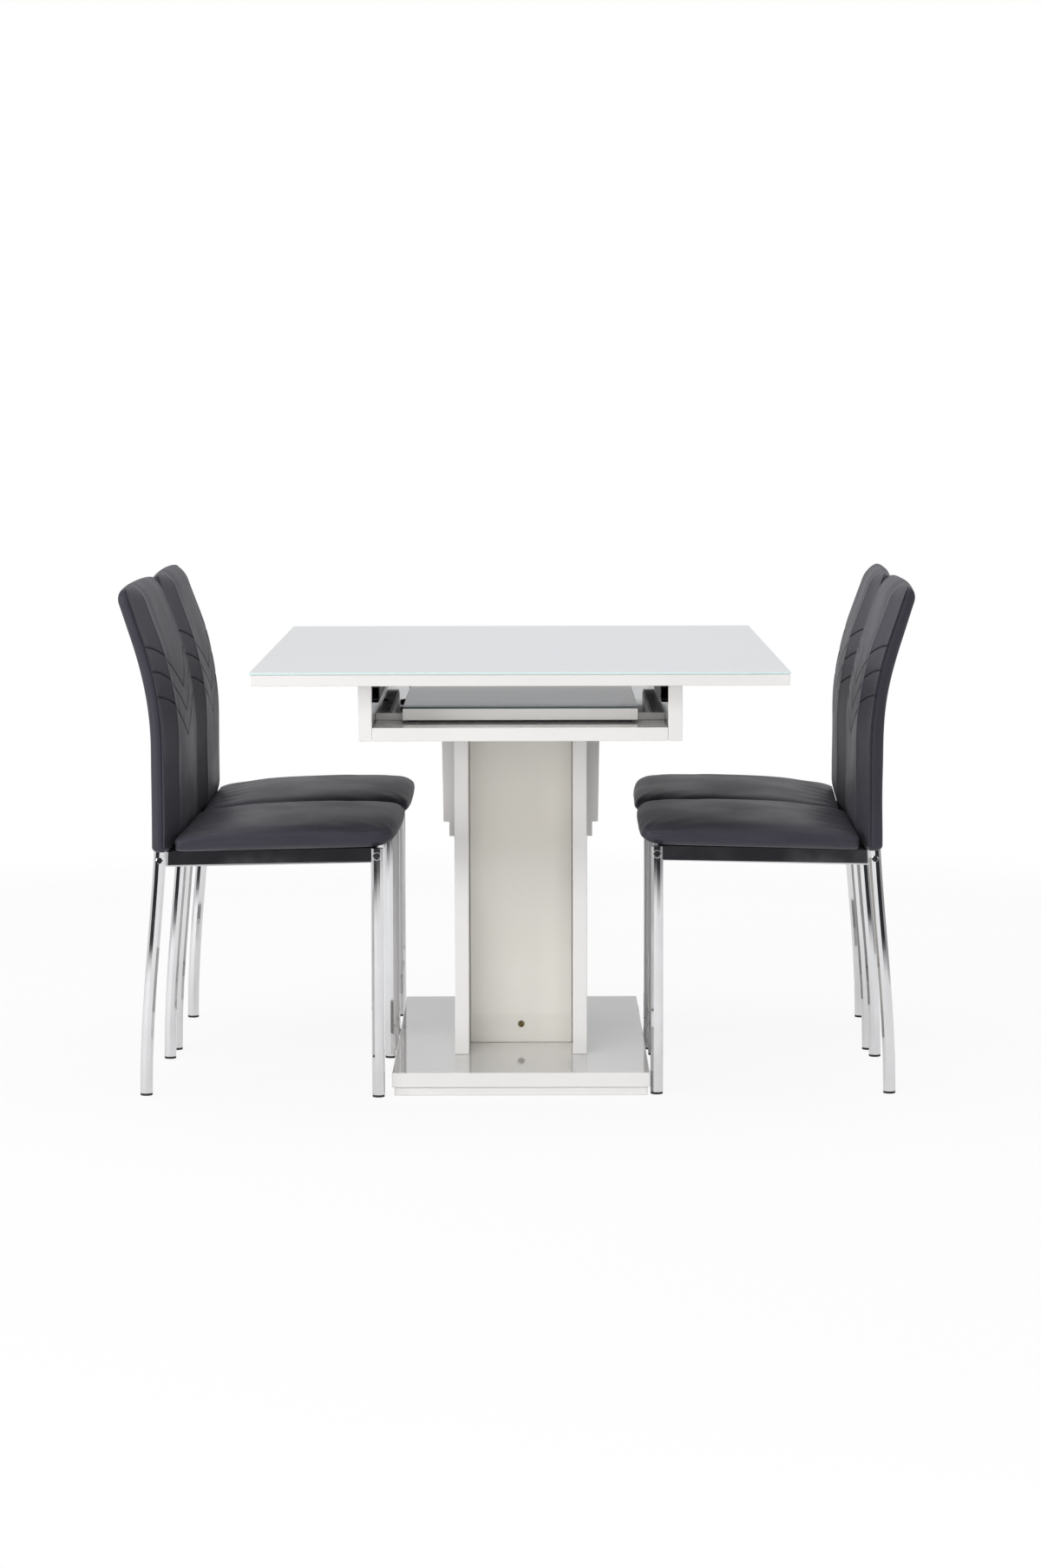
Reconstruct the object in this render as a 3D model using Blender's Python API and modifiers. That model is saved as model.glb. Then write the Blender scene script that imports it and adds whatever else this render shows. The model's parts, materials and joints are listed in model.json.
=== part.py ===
# Extending dining table with a glass top on a pedestal, and four upholstered chairs on chrome tube frames.
# Metres, +Z up. The origin lies on the floor under the middle of the table. The table's length runs along Y,
# and two chairs stand on each long side, at -X and +X, with their backs outwards.

import math

import bmesh
import bpy
from mathutils import Matrix, Vector
from mathutils.bvhtree import BVHTree

SKIN_GAP = 0.0003
RUNNING_GAP = 0.0008
EDGE_ROUND = 0.0012

TABLE_HEIGHT = 0.750
TOP_LENGTH = 1.200
TOP_WIDTH = 0.900
TOP_BOARD_THICKNESS = 0.019
GLASS_THICKNESS = 0.004
GLASS_OVERHANG = 0.0015

LEAF_LENGTH = 0.900
LEAF_WIDTH = 0.400
LEAF_END_SPACE = 0.100

BOX_WIDTH = 0.544
BOX_LENGTH = LEAF_LENGTH + 2 * LEAF_END_SPACE
BOX_SIDE_THICKNESS = 0.0235
BOX_BOTTOM_THICKNESS = 0.023
BOX_BOTTOM_HEIGHT = 0.630
REAR_RAIL_THICKNESS = 0.022
REAR_RAIL_HEIGHT = 0.036

LEAF_PAD_THICKNESS = 0.0037
LEAF_SIDE_CLEARANCE = 0.0015
GUIDE_STRIP_HEIGHT = 0.012
GUIDE_STRIP_SETBACK = 0.145
PEG_RADIUS = 0.006
PEG_LENGTH = 0.010
PEG_CHAMFER = 0.0015
PEG_SPACING = 0.520
CATCH_LENGTH = 0.020
CATCH_WIDTH = 0.012

SLIDE_HEIGHT = 0.031
SLIDE_DEPTH = 0.0112
SLIDE_LENGTH = 1.000
SLIDE_SETBACK = 0.006
SLIDE_SHEET = 0.0012
SLIDE_LIP = 0.003
BALL_RADIUS = 0.0016
BALL_CLEARANCE = 0.0002
BALLS_PER_ROW = 3
CAGE_LENGTH = 0.500
CAGE_SHEET = 0.0006
RUNNER_FLANGE = 0.018

PEDESTAL_WIDTH = 0.2344
PEDESTAL_LENGTH = 0.460
PEDESTAL_SLAB = 0.025
PANEL_THICKNESS = 0.018
PANEL_SETBACK = 0.123
CORBEL_THICKNESS = 0.0102
CORBEL_LENGTH = 0.300
CORBEL_INNER_DROP = 0.208
CORBEL_OUTER_DROP = 0.182
CORBEL_FLARE = 0.003
COVER_SCREW_RADIUS = 0.006
COVER_SCREW_HEAD = 0.0012
COVER_SCREW_RISE = 0.034

BASE_LENGTH = 0.8175
BASE_WIDTH = 0.447
BASE_SLAB_THICKNESS = 0.0256
PLINTH_HEIGHT = 0.0146
PLINTH_INSET = 0.004

FOOT_DEPTH = 0.404
FRONT_LEG_SPACING = 0.380
REAR_LEG_SPACING = 0.358
TUBE_RADIUS = 0.011
PLUG_HEIGHT = 0.004
PLUG_RADIUS = 0.0106
FRONT_LEG_DROP = 0.0007
REAR_LEG_TOP = 0.560
REAR_LEG_LEAN = 0.0335
REAR_LEG_SWEEP = 0.550
RAIL_TOP = 0.4286
RAIL_SLOPE = 0.0243
RAIL_HEIGHT = 0.0275
RAIL_THICKNESS = 0.014
SEAT_BOARD_THICKNESS = 0.009
RAIL_ROUND = 0.003
BOLT_RADIUS = 0.0065
BOLT_HEAD = 0.003
BOLT_SINK = 0.0028

CUSHION_WIDTH = 0.420
SEAT_REAR = -0.1495
SEAT_FRONT = 0.242
SEAT_FRONT_TUCK = 0.021
SEAT_THICKNESS = 0.0508
SEAT_REAR_THICKNESS = 0.026
SEAT_REAR_TUCK = 0.0165
SEAT_EDGE_DROP = 0.010
SEAT_EDGE_INSET = 0.014
BACK_BOTTOM = 0.426
BACK_TOP = 0.8825
BACK_THICKNESS = 0.0495
BACK_TOP_THINNING = 0.001
BACK_TOP_REAR_ROUND = 0.010
BACK_TOP_FRONT_ROUND = 0.018
BACK_REAR = -0.186
BACK_BEND_START = 0.600
BACK_BEND_END = 0.790
BACK_BEND_RADIUS = 0.5814
BACK_CROWN = 0.002
BACK_EDGE_INSET = 0.006
CHEVRON_COUNT = 3
CHEVRON_FIRST_TIP = 0.697
CHEVRON_PITCH = 0.0425
CHEVRON_RISE = 0.082
CHANNEL_RADIUS = 0.0021
BORE_CLEARANCE = 0.0004

# Where each chair stands: name, which side of the table, room between the base and its front legs' tubes,
# place along the table, turn in degrees.
CHAIR_PLACES = (
    ("chair_left_near", -1, 0.0080, -0.2175, -1.2),
    ("chair_left_far", -1, 0.0011, 0.2365, 0.2),
    ("chair_right_near", 1, 0.0050, -0.2020, -1.2),
    ("chair_right_far", 1, 0.0115, 0.2335, -2.8),
)

# Heights and widths that follow from the sizes above.
top_board_top = TABLE_HEIGHT - GLASS_THICKNESS - SKIN_GAP
top_underside = top_board_top - TOP_BOARD_THICKNESS
board_width = TOP_WIDTH - 2 * GLASS_OVERHANG
board_length = TOP_LENGTH - 2 * GLASS_OVERHANG
box_floor = BOX_BOTTOM_HEIGHT + BOX_BOTTOM_THICKNESS
box_inside = BOX_WIDTH / 2 - BOX_SIDE_THICKNESS
box_front = -BOX_LENGTH / 2
base_top = PLINTH_HEIGHT + SKIN_GAP + BASE_SLAB_THICKNESS
leaf_bottom = box_floor + SKIN_GAP + LEAF_PAD_THICKNESS
leaf_board_top = leaf_bottom + TOP_BOARD_THICKNESS
slide_middle = top_underside - RUNNING_GAP - SLIDE_HEIGHT / 2
slide_front = box_front + SLIDE_SETBACK
slide_rear = slide_front + SLIDE_LENGTH
flange_line = SLIDE_HEIGHT / 2 - SLIDE_SHEET / 2
ball_line = flange_line - SLIDE_SHEET / 2 - BALL_CLEARANCE - BALL_RADIUS
runner_line = ball_line - BALL_RADIUS - BALL_CLEARANCE - SLIDE_SHEET / 2
web_line = box_inside - SKIN_GAP - SLIDE_SHEET / 2
mouth_line = box_inside - SKIN_GAP - SLIDE_DEPTH + SLIDE_SHEET / 2
ball_column = (web_line + mouth_line) / 2
front_foot = FOOT_DEPTH / 2
rear_foot = -FOOT_DEPTH / 2


def clear_scene():
    for item in list(bpy.data.objects):
        bpy.data.objects.remove(item, do_unlink=True)


def new_collection(name):
    group = bpy.data.collections.new(name)
    bpy.context.scene.collection.children.link(group)
    return group


def new_material(name, colour, roughness, metallic=0.0, transmission=0.0):
    material = bpy.data.materials.new(name)
    material.use_nodes = True
    shader = material.node_tree.nodes["Principled BSDF"]
    shader.inputs["Base Color"].default_value = (*colour, 1.0)
    shader.inputs["Roughness"].default_value = roughness
    shader.inputs["Metallic"].default_value = metallic
    shader.inputs["Transmission Weight"].default_value = transmission
    material.diffuse_color = (*colour, 1.0)
    return material


def new_parent(name, place=(0.0, 0.0, 0.0), turn=0.0):
    parent = bpy.data.objects.new(name, None)
    parent.location = place
    parent.rotation_euler = (0.0, 0.0, turn)
    model.objects.link(parent)
    return parent


def mesh_from(shape, name):
    bmesh.ops.recalc_face_normals(shape, faces=shape.faces[:])
    mesh = bpy.data.meshes.new(name)
    shape.to_mesh(mesh)
    shape.free()
    return mesh


def add_node(name, mesh, look, parent=None, place=(0.0, 0.0, 0.0), smooth=False):
    mesh = mesh.copy()
    mesh.name = name
    mesh.materials.clear()
    mesh.materials.append(material_of[look](name))
    node = bpy.data.objects.new(name, mesh)
    node.location = place
    node.parent = parent
    model.objects.link(node)
    if smooth:
        mesh.shade_smooth()
        mesh.set_sharp_from_angle(angle=math.radians(38))
    return node


def box_mesh(size, place=(0.0, 0.0, 0.0)):
    shape = bmesh.new()
    bmesh.ops.create_cube(shape, size=1.0)
    bmesh.ops.scale(shape, vec=Vector(size), verts=shape.verts)
    bmesh.ops.translate(shape, vec=Vector(place), verts=shape.verts)
    return mesh_from(shape, "box")


def add_board(name, low, high, look, parent=None, rounding=EDGE_ROUND):
    """A board between two corners, with its edges broken by a small bevel."""
    size = [high[axis] - low[axis] for axis in range(3)]
    middle = [(high[axis] + low[axis]) / 2 for axis in range(3)]
    node = add_node(name, box_mesh(size), look, parent, middle)
    if rounding:
        soften(node, rounding)
    return node


def soften(node, width, segments=1):
    bevel = node.modifiers.new("edges", "BEVEL")
    bevel.width = width
    bevel.segments = segments
    bevel.limit_method = "ANGLE"


def placed(mesh, matrix):
    """A copy of a mesh moved by a matrix, turned the right way out again where the matrix mirrors it."""
    shape = bmesh.new()
    shape.from_mesh(mesh)
    bmesh.ops.transform(shape, matrix=matrix, verts=shape.verts)
    return mesh_from(shape, mesh.name)


def merged(meshes):
    """One mesh of separate solids, for a cutter."""
    shape = bmesh.new()
    for mesh in meshes:
        shape.from_mesh(mesh)
    return mesh_from(shape, "group")


def joined(meshes):
    """One solid from several that overlap."""
    base = bpy.data.objects.new("base", meshes[0])
    cutters.objects.link(base)
    helpers = [add_cutter("joint", mesh) for mesh in meshes[1:]]
    for helper in helpers:
        join = base.modifiers.new("join", "BOOLEAN")
        join.operation = "UNION"
        join.solver = "EXACT"
        join.object = helper
    mesh = evaluated_mesh(base)
    for item in [base, *helpers]:
        bpy.data.objects.remove(item)
    return mesh


def at(x, y, z):
    return Matrix.Translation((x, y, z))


def disc_mesh(radius, height, sides, dome=0.0):
    """A disc or domed head that stands on Z = 0."""
    shape = bmesh.new()
    bmesh.ops.create_cone(
        shape, cap_ends=True, segments=sides, radius1=radius, radius2=radius - dome, depth=height
    )
    bmesh.ops.translate(shape, vec=(0, 0, height / 2), verts=shape.verts)
    return mesh_from(shape, "disc")


def ball_mesh(radius):
    shape = bmesh.new()
    bmesh.ops.create_uvsphere(shape, u_segments=8, v_segments=5, radius=radius)
    return mesh_from(shape, "ball")


def evaluated_mesh(item):
    """The finished mesh of an object, with its modifiers or bevel applied and loose caps welded."""
    bpy.context.view_layer.update()
    graph = bpy.context.evaluated_depsgraph_get()
    mesh = bpy.data.meshes.new_from_object(item.evaluated_get(graph))
    shape = bmesh.new()
    shape.from_mesh(mesh)
    bmesh.ops.remove_doubles(shape, verts=shape.verts, dist=0.00001)
    bpy.data.meshes.remove(mesh)
    return mesh_from(shape, item.name)


def tube_mesh(paths, radius, resolution):
    """Round tubes with closed ends along one or more lists of points."""
    curve = bpy.data.curves.new("tube", "CURVE")
    curve.dimensions = "3D"
    curve.bevel_depth = radius
    curve.bevel_resolution = resolution
    curve.use_fill_caps = True
    for path in paths:
        spline = curve.splines.new("POLY")
        spline.points.add(len(path) - 1)
        for point, place in zip(spline.points, path):
            point.co = (*place, 1.0)
    item = bpy.data.objects.new("tube", curve)
    model.objects.link(item)
    mesh = evaluated_mesh(item)
    bpy.data.objects.remove(item)
    bpy.data.curves.remove(curve)
    return mesh


def sheet_profile(line, thickness):
    """The closed outline of a bent sheet whose middle follows a line of (x, z) points."""
    points = [Vector(point) for point in line]
    sides = ([], [])
    for index, point in enumerate(points):
        before = (point - points[max(index - 1, 0)]).normalized()
        after = (points[min(index + 1, len(points) - 1)] - point).normalized()
        before = before if before.length else after
        after = after if after.length else before
        across = Vector((-before.y - after.y, before.x + after.x)).normalized()
        reach = thickness / 2 / across.dot(Vector((-before.y, before.x)))
        sides[0].append(point + across * reach)
        sides[1].append(point - across * reach)
    return sides[0] + sides[1][::-1]


def extruded_mesh(outline, start, end):
    """A profile in X and Z carried along Y."""
    shape = bmesh.new()
    corners = [shape.verts.new((x, start, z)) for x, z in outline]
    face = shape.faces.new(corners)
    swept = bmesh.ops.extrude_face_region(shape, geom=[face])
    moved = [item for item in swept["geom"] if isinstance(item, bmesh.types.BMVert)]
    bmesh.ops.translate(shape, vec=(0, end - start, 0), verts=moved)
    return mesh_from(shape, "profile")


def add_cutter(name, mesh):
    cutter = bpy.data.objects.new(name, mesh)
    cutter.display_type = "WIRE"
    cutter.hide_render = True
    cutters.objects.link(cutter)
    return cutter


def cut(node, cutter):
    boolean = node.modifiers.new(cutter.name, "BOOLEAN")
    boolean.operation = "DIFFERENCE"
    boolean.solver = "EXACT"
    boolean.object = cutter


def build_base():
    half_width = BASE_WIDTH / 2
    half_length = BASE_LENGTH / 2
    add_board(
        "base_plinth",
        (PLINTH_INSET - half_width, PLINTH_INSET - half_length, 0.0),
        (half_width - PLINTH_INSET, half_length - PLINTH_INSET, PLINTH_HEIGHT),
        "white board",
    )
    add_board(
        "base_slab",
        (-half_width, -half_length, PLINTH_HEIGHT + SKIN_GAP),
        (half_width, half_length, base_top),
        "white board",
    )


def build_pedestal():
    half_width = PEDESTAL_WIDTH / 2
    half_length = PEDESTAL_LENGTH / 2
    foot = base_top + SKIN_GAP
    head = BOX_BOTTOM_HEIGHT - SKIN_GAP
    inside = half_width - PEDESTAL_SLAB
    for name, side in (("left", -1), ("right", 1)):
        near, far = sorted((side * inside, side * half_width))
        low = (near, -half_length, foot)
        add_board(f"pedestal_slab_{name}", low, (far, half_length, head), "white board")
    panel_face = half_length - PANEL_SETBACK
    reach = inside - SKIN_GAP
    for name, side in (("front", -1), ("rear", 1)):
        near, far = sorted((side * panel_face, side * (panel_face - PANEL_THICKNESS)))
        add_board(f"pedestal_panel_{name}", (-reach, near, foot), (reach, far, head), "white board")
    screw = disc_mesh(COVER_SCREW_RADIUS, COVER_SCREW_HEAD, 12, COVER_SCREW_HEAD / 2)
    for name, side in (("front", -1), ("rear", 1)):
        place = at(0, side * (panel_face + SKIN_GAP), base_top + COVER_SCREW_RISE)
        facing = Matrix.Rotation(-side * math.pi / 2, 4, "X")
        add_node(f"cover_screw_{name}", placed(screw, place @ facing), "brass", smooth=True)


def build_corbels():
    """A stepped bracket of two layers on each side of the pedestal, the outer layer shorter."""
    head = BOX_BOTTOM_HEIGHT - SKIN_GAP
    seat = PEDESTAL_WIDTH / 2 + SKIN_GAP
    step = seat + CORBEL_THICKNESS
    face = step + CORBEL_THICKNESS
    outline = [
        (seat, head), (face + CORBEL_FLARE, head), (face, head - CORBEL_OUTER_DROP),
        (step, head - CORBEL_OUTER_DROP), (step, head - CORBEL_INNER_DROP), (seat, head - CORBEL_INNER_DROP),
    ]
    bracket = extruded_mesh(outline, -CORBEL_LENGTH / 2, CORBEL_LENGTH / 2)
    for name, side in (("left", -1), ("right", 1)):
        node = add_node(f"corbel_{name}", placed(bracket, Matrix.Diagonal((side, 1, 1, 1))), "white board")
        soften(node, EDGE_ROUND)


def build_box():
    side_top = top_underside - RUNNING_GAP
    inside = box_inside - SKIN_GAP
    for name, side in (("left", -1), ("right", 1)):
        near, far = sorted((side * box_inside, side * BOX_WIDTH / 2))
        low = (near, box_front, BOX_BOTTOM_HEIGHT)
        add_board(f"box_side_{name}", low, (far, -box_front, side_top), "white board")
        near, far = sorted((side * (LEAF_WIDTH / 2 + LEAF_SIDE_CLEARANCE), side * inside))
        strip_low = (near, box_front + GUIDE_STRIP_SETBACK, box_floor + SKIN_GAP)
        strip_end = -box_front - REAR_RAIL_THICKNESS - 2 * SKIN_GAP
        strip_high = (far, strip_end, box_floor + SKIN_GAP + GUIDE_STRIP_HEIGHT)
        add_board(f"guide_strip_{name}", strip_low, strip_high, "white board", rounding=0.0006)
    floor_low = (-inside, box_front, BOX_BOTTOM_HEIGHT)
    add_board("box_bottom", floor_low, (inside, -box_front, box_floor), "white board")
    rail_low = (-inside, -box_front - REAR_RAIL_THICKNESS, box_floor + SKIN_GAP)
    rail_high = (inside, -box_front, box_floor + SKIN_GAP + REAR_RAIL_HEIGHT)
    add_board("box_rear_rail", rail_low, rail_high, "white board")


def build_slides(top, cages):
    """Ball-bearing slides: a channel on the box, a runner under the top, and a cage of balls between them.
    The runner's web goes up to the top and turns inwards there as the flange that is screwed to the board."""
    lip = flange_line - SLIDE_LIP
    channel_line = [
        (mouth_line, lip), (mouth_line, flange_line), (web_line, flange_line),
        (web_line, -flange_line), (mouth_line, -flange_line), (mouth_line, -lip),
    ]
    runner_tail = web_line - SLIDE_SHEET / 2 - CAGE_SHEET - 4 * SKIN_GAP
    runner_back = mouth_line - SLIDE_SHEET / 2 - SKIN_GAP - SLIDE_SHEET / 2
    runner_head = top_underside - SKIN_GAP - SLIDE_SHEET / 2 - slide_middle
    runner_line_points = [
        (runner_tail, -runner_line), (runner_back, -runner_line), (runner_back, runner_head),
        (runner_back - RUNNER_FLANGE, runner_head),
    ]
    track_line = [(runner_tail, runner_line), (runner_back, runner_line)]
    cage_web = web_line - SLIDE_SHEET / 2 - SKIN_GAP - CAGE_SHEET / 2
    cage_end = ball_column - BALL_RADIUS
    cage_line = [(cage_end, ball_line), (cage_web, ball_line), (cage_web, -ball_line), (cage_end, -ball_line)]
    cage_front = (slide_front + slide_rear - CAGE_LENGTH) / 2
    channel = extruded_mesh(sheet_profile(channel_line, SLIDE_SHEET), slide_front, slide_rear)
    web = extruded_mesh(sheet_profile(runner_line_points, SLIDE_SHEET), slide_front, slide_rear)
    track = extruded_mesh(sheet_profile(track_line, SLIDE_SHEET), slide_front, slide_rear)
    runner = joined([web, track])
    strip = extruded_mesh(sheet_profile(cage_line, CAGE_SHEET), cage_front, cage_front + CAGE_LENGTH)
    ball = ball_mesh(BALL_RADIUS)
    balls = []
    for index in range(BALLS_PER_ROW):
        along = cage_front + CAGE_LENGTH * (index + 0.5) / BALLS_PER_ROW
        balls += [placed(ball, at(ball_column, along, row * ball_line)) for row in (-1, 1)]
    cage = joined([strip, merged(balls)])
    for name, side in (("left", -1), ("right", 1)):
        flip = at(0, 0, slide_middle) @ Matrix.Diagonal((side, 1, 1, 1))
        add_node(f"slide_channel_{name}", placed(channel, flip), "black steel")
        add_node(f"slide_runner_{name}", placed(runner, flip), "black steel", top)
        add_node(f"ball_cage_{name}", placed(cage, flip), "steel", cages)


def build_top(top):
    half_width = board_width / 2
    half_length = board_length / 2
    low = (-half_width, -half_length, top_underside)
    add_board("top_board", low, (half_width, half_length, top_board_top), "white board", top)
    glass_low = (-TOP_WIDTH / 2, -TOP_LENGTH / 2, top_board_top + SKIN_GAP)
    glass_high = (TOP_WIDTH / 2, TOP_LENGTH / 2, TABLE_HEIGHT)
    add_board("top_glass", glass_low, glass_high, "glass", top, 0.0007)


def build_leaf(leaf):
    """The loose leaf, which lies lengthways in the box on four steel catches."""
    half_width = LEAF_WIDTH / 2
    half_length = LEAF_LENGTH / 2
    board = box_mesh((LEAF_WIDTH, LEAF_LENGTH, TOP_BOARD_THICKNESS), (0, 0, leaf_bottom + TOP_BOARD_THICKNESS / 2))
    catch_height = LEAF_PAD_THICKNESS + SKIN_GAP
    catches = []
    for across in (-1, 1):
        for along in (-1, 1):
            place = (
                across * (half_width - CATCH_LENGTH), along * (half_length - CATCH_WIDTH),
                leaf_bottom - LEAF_PAD_THICKNESS + catch_height / 2,
            )
            catches.append(box_mesh((CATCH_LENGTH, CATCH_WIDTH, catch_height), place))
    add_node("leaf_board", joined([board, merged(catches)]), "white board", leaf)
    glass_low = (-half_width, -half_length, leaf_board_top + SKIN_GAP)
    glass_high = (half_width, half_length, leaf_board_top + SKIN_GAP + GLASS_THICKNESS)
    add_board("leaf_glass", glass_low, glass_high, "glass", leaf, 0.0007)
    peg = disc_mesh(PEG_RADIUS, PEG_LENGTH, 12, PEG_CHAMFER)
    peg_height = box_floor + GUIDE_STRIP_HEIGHT + PEG_RADIUS + RUNNING_GAP
    for name, along in (("near", -PEG_SPACING / 2), ("far", PEG_SPACING / 2)):
        lying = at(-half_width - SKIN_GAP, along, peg_height) @ Matrix.Rotation(-math.pi / 2, 4, "Y")
        add_node(f"leaf_peg_{name}", placed(peg, lying), "black plastic", leaf, smooth=True)


def rear_leg_line(height):
    """How far forward the rear leg stands at a height: upright at the floor, and again inside the back."""
    share = min(max(height / REAR_LEG_SWEEP, 0.0), 1.0)
    return rear_foot + REAR_LEG_LEAN * share * share * (3 - 2 * share)


def rear_leg_path(start, end, steps):
    heights = [start + (end - start) * step / steps for step in range(steps + 1)]
    return [(rear_leg_line(height), 0.0, height) for height in heights]


def rail_top(x):
    """The top of the seat frame, which slopes down to the rear."""
    return RAIL_TOP + RAIL_SLOPE * x


def bolted_leg(path, bolt_x, resolution):
    """A leg tube with its foot plug pushed in below and the domed head of its frame bolt on the outer side."""
    foot = path[0]
    tube = tube_mesh([path], TUBE_RADIUS, resolution)
    plug = placed(disc_mesh(PLUG_RADIUS, 2 * PLUG_HEIGHT, 12), at(foot[0], foot[1], 0))
    head = disc_mesh(BOLT_RADIUS, BOLT_HEAD + BOLT_SINK, 8, BOLT_HEAD / 2)
    bolt_height = rail_top(bolt_x) - RAIL_HEIGHT / 2
    outward = at(bolt_x, TUBE_RADIUS - BOLT_SINK, bolt_height) @ Matrix.Rotation(-math.pi / 2, 4, "X")
    return joined([tube, plug, placed(head, outward)])


def rear_leg_mesh():
    path = rear_leg_path(PLUG_HEIGHT, REAR_LEG_TOP, 9)
    return bolted_leg(path, rear_leg_line(RAIL_TOP - RAIL_HEIGHT / 2), 3)


def front_leg_mesh():
    leg_top = rail_top(front_foot) - FRONT_LEG_DROP
    return bolted_leg([(front_foot, 0, PLUG_HEIGHT), (front_foot, 0, leg_top)], front_foot, 4)


def frame_corners():
    """The seat frame's outer corners, one behind each front and rear leg, as (x, y) for the +Y side."""
    inward = TUBE_RADIUS + SKIN_GAP
    rear = Vector((rear_leg_line(RAIL_TOP), REAR_LEG_SPACING / 2 - inward))
    front = Vector((front_foot, FRONT_LEG_SPACING / 2 - inward))
    return rear, front


def seat_frame_mesh():
    """A flat band round the seat, given its thickness inwards."""
    rear, front = frame_corners()
    shape = bmesh.new()
    corners = [(rear.x, -rear.y), (front.x, -front.y), (front.x, front.y), (rear.x, rear.y)]
    low = [shape.verts.new((x, y, rail_top(x) - RAIL_HEIGHT)) for x, y in corners]
    high = [shape.verts.new((x, y, rail_top(x))) for x, y in corners]
    for index in range(4):
        after = (index + 1) % 4
        shape.faces.new((low[index], low[after], high[after], high[index]))
    band = bpy.data.objects.new("band", mesh_from(shape, "band"))
    cutters.objects.link(band)
    solid = band.modifiers.new("sheet", "SOLIDIFY")
    solid.thickness = RAIL_THICKNESS
    solid.offset = -1.0
    solid.use_even_offset = True
    shape = bmesh.new()
    shape.from_mesh(evaluated_mesh(band))
    bpy.data.objects.remove(band)
    level = [edge for edge in shape.edges if abs(edge.verts[0].co.z - edge.verts[1].co.z) < RAIL_HEIGHT / 2]
    bmesh.ops.bevel(shape, geom=level, offset=RAIL_ROUND, segments=2, profile=0.5, affect="EDGES")
    return mesh_from(shape, "seat_frame")


def seat_board_mesh():
    """The board that carries the cushion, let in flush between the rails."""
    rear, front = frame_corners()
    inset = RAIL_THICKNESS + 2 * SKIN_GAP
    slope = (front.y - rear.y) / (front.x - rear.x)
    shape = bmesh.new()
    corners = []
    for x, direction in ((rear.x + inset, 1), (front.x - inset, -1)):
        y = rear.y + slope * (x - rear.x) - inset
        corners += [(x, -direction * y), (x, direction * y)]
    face = shape.faces.new([shape.verts.new((x, y, rail_top(x) - SEAT_BOARD_THICKNESS)) for x, y in corners])
    swept = bmesh.ops.extrude_face_region(shape, geom=[face])
    moved = [item for item in swept["geom"] if isinstance(item, bmesh.types.BMVert)]
    bmesh.ops.translate(shape, vec=(0, 0, SEAT_BOARD_THICKNESS), verts=moved)
    return mesh_from(shape, "seat_board")


def caged_mesh(name, stations, place):
    """A soft form from a coarse cage: a box divided at stations from -1 to 1 along each axis, whose points
    are put in place by a function, with one level of subdivision."""
    shape = bmesh.new()
    bmesh.ops.create_cube(shape, size=2.0)
    for axis, cuts in enumerate(stations):
        normal = Vector([1.0 if index == axis else 0.0 for index in range(3)])
        for cut_place in cuts[1:-1]:
            geometry = shape.verts[:] + shape.edges[:] + shape.faces[:]
            bmesh.ops.bisect_plane(shape, geom=geometry, plane_co=normal * cut_place, plane_no=normal)
    for vert in shape.verts:
        vert.co = place(*vert.co)
    item = bpy.data.objects.new(name, mesh_from(shape, name))
    cutters.objects.link(item)
    smooth = item.modifiers.new("soft", "SUBSURF")
    smooth.levels = smooth.render_levels = 1
    return item


def seat_point(a, b, c):
    """The seat cage: a runs from rear to front, b across and c from the flat bottom to the crowned top.
    The front bulges over the legs, and the rear thins to a wedge that is tucked under the back."""
    share = (a + 1) / 2
    tuck = SEAT_FRONT_TUCK if c < -0.5 else 0.0 if c < 0.5 else SEAT_EDGE_INSET
    rear_tuck = SEAT_REAR_TUCK * (1.0 if c > 0.5 else 0.0 if c < -0.5 else 0.35)
    rear = SEAT_REAR - 0.004 + rear_tuck
    front = SEAT_FRONT + 0.004 - tuck
    x = rear + (front - rear) * share
    side = CUSHION_WIDTH / 2 + 0.003 - SEAT_EDGE_INSET * (0.9 if c < -0.5 else 0.0 if c < 0.5 else 0.8)
    corner = 1 - 0.06 * (a * b) ** 6 if a > 0 else 1.0
    y = b * side * corner
    x = (SEAT_REAR + SEAT_FRONT) / 2 + (x - (SEAT_REAR + SEAT_FRONT) / 2) * corner
    rise = (c + 1) / 2
    full = SEAT_THICKNESS - SEAT_EDGE_DROP * (b * b + 0.6 * max(a, 0.0) ** 3)
    wedge = min(1.0, max(0.0, (share - 0.02) / 0.24))
    height = SEAT_REAR_THICKNESS + (full - SEAT_REAR_THICKNESS) * wedge * (2 - wedge)
    return Vector((x, y, rail_top(x) + SKIN_GAP + rise * height))


def seat_cushion_mesh():
    cuts_along = (-1, -0.82, -0.4, 0.2, 0.75, 1)
    cuts_across = (-1, -0.8, 0, 0.8, 1)
    item = caged_mesh("seat_form", (cuts_along, cuts_across, (-1, 0, 1)), seat_point)
    mesh = evaluated_mesh(item)
    bpy.data.objects.remove(item)
    for vert in mesh.vertices:
        vert.co.z = max(vert.co.z, rail_top(vert.co.x) + SKIN_GAP)
    return mesh


def back_rear_line(height):
    """The back's rear face: upright at the seat, curved away above that and straight again near the top."""
    bend = min(max(height, BACK_BEND_START), BACK_BEND_END) - BACK_BEND_START
    straight = max(height - BACK_BEND_END, 0.0)
    return BACK_REAR - bend * (bend + 2 * straight) / (2 * BACK_BEND_RADIUS)


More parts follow.
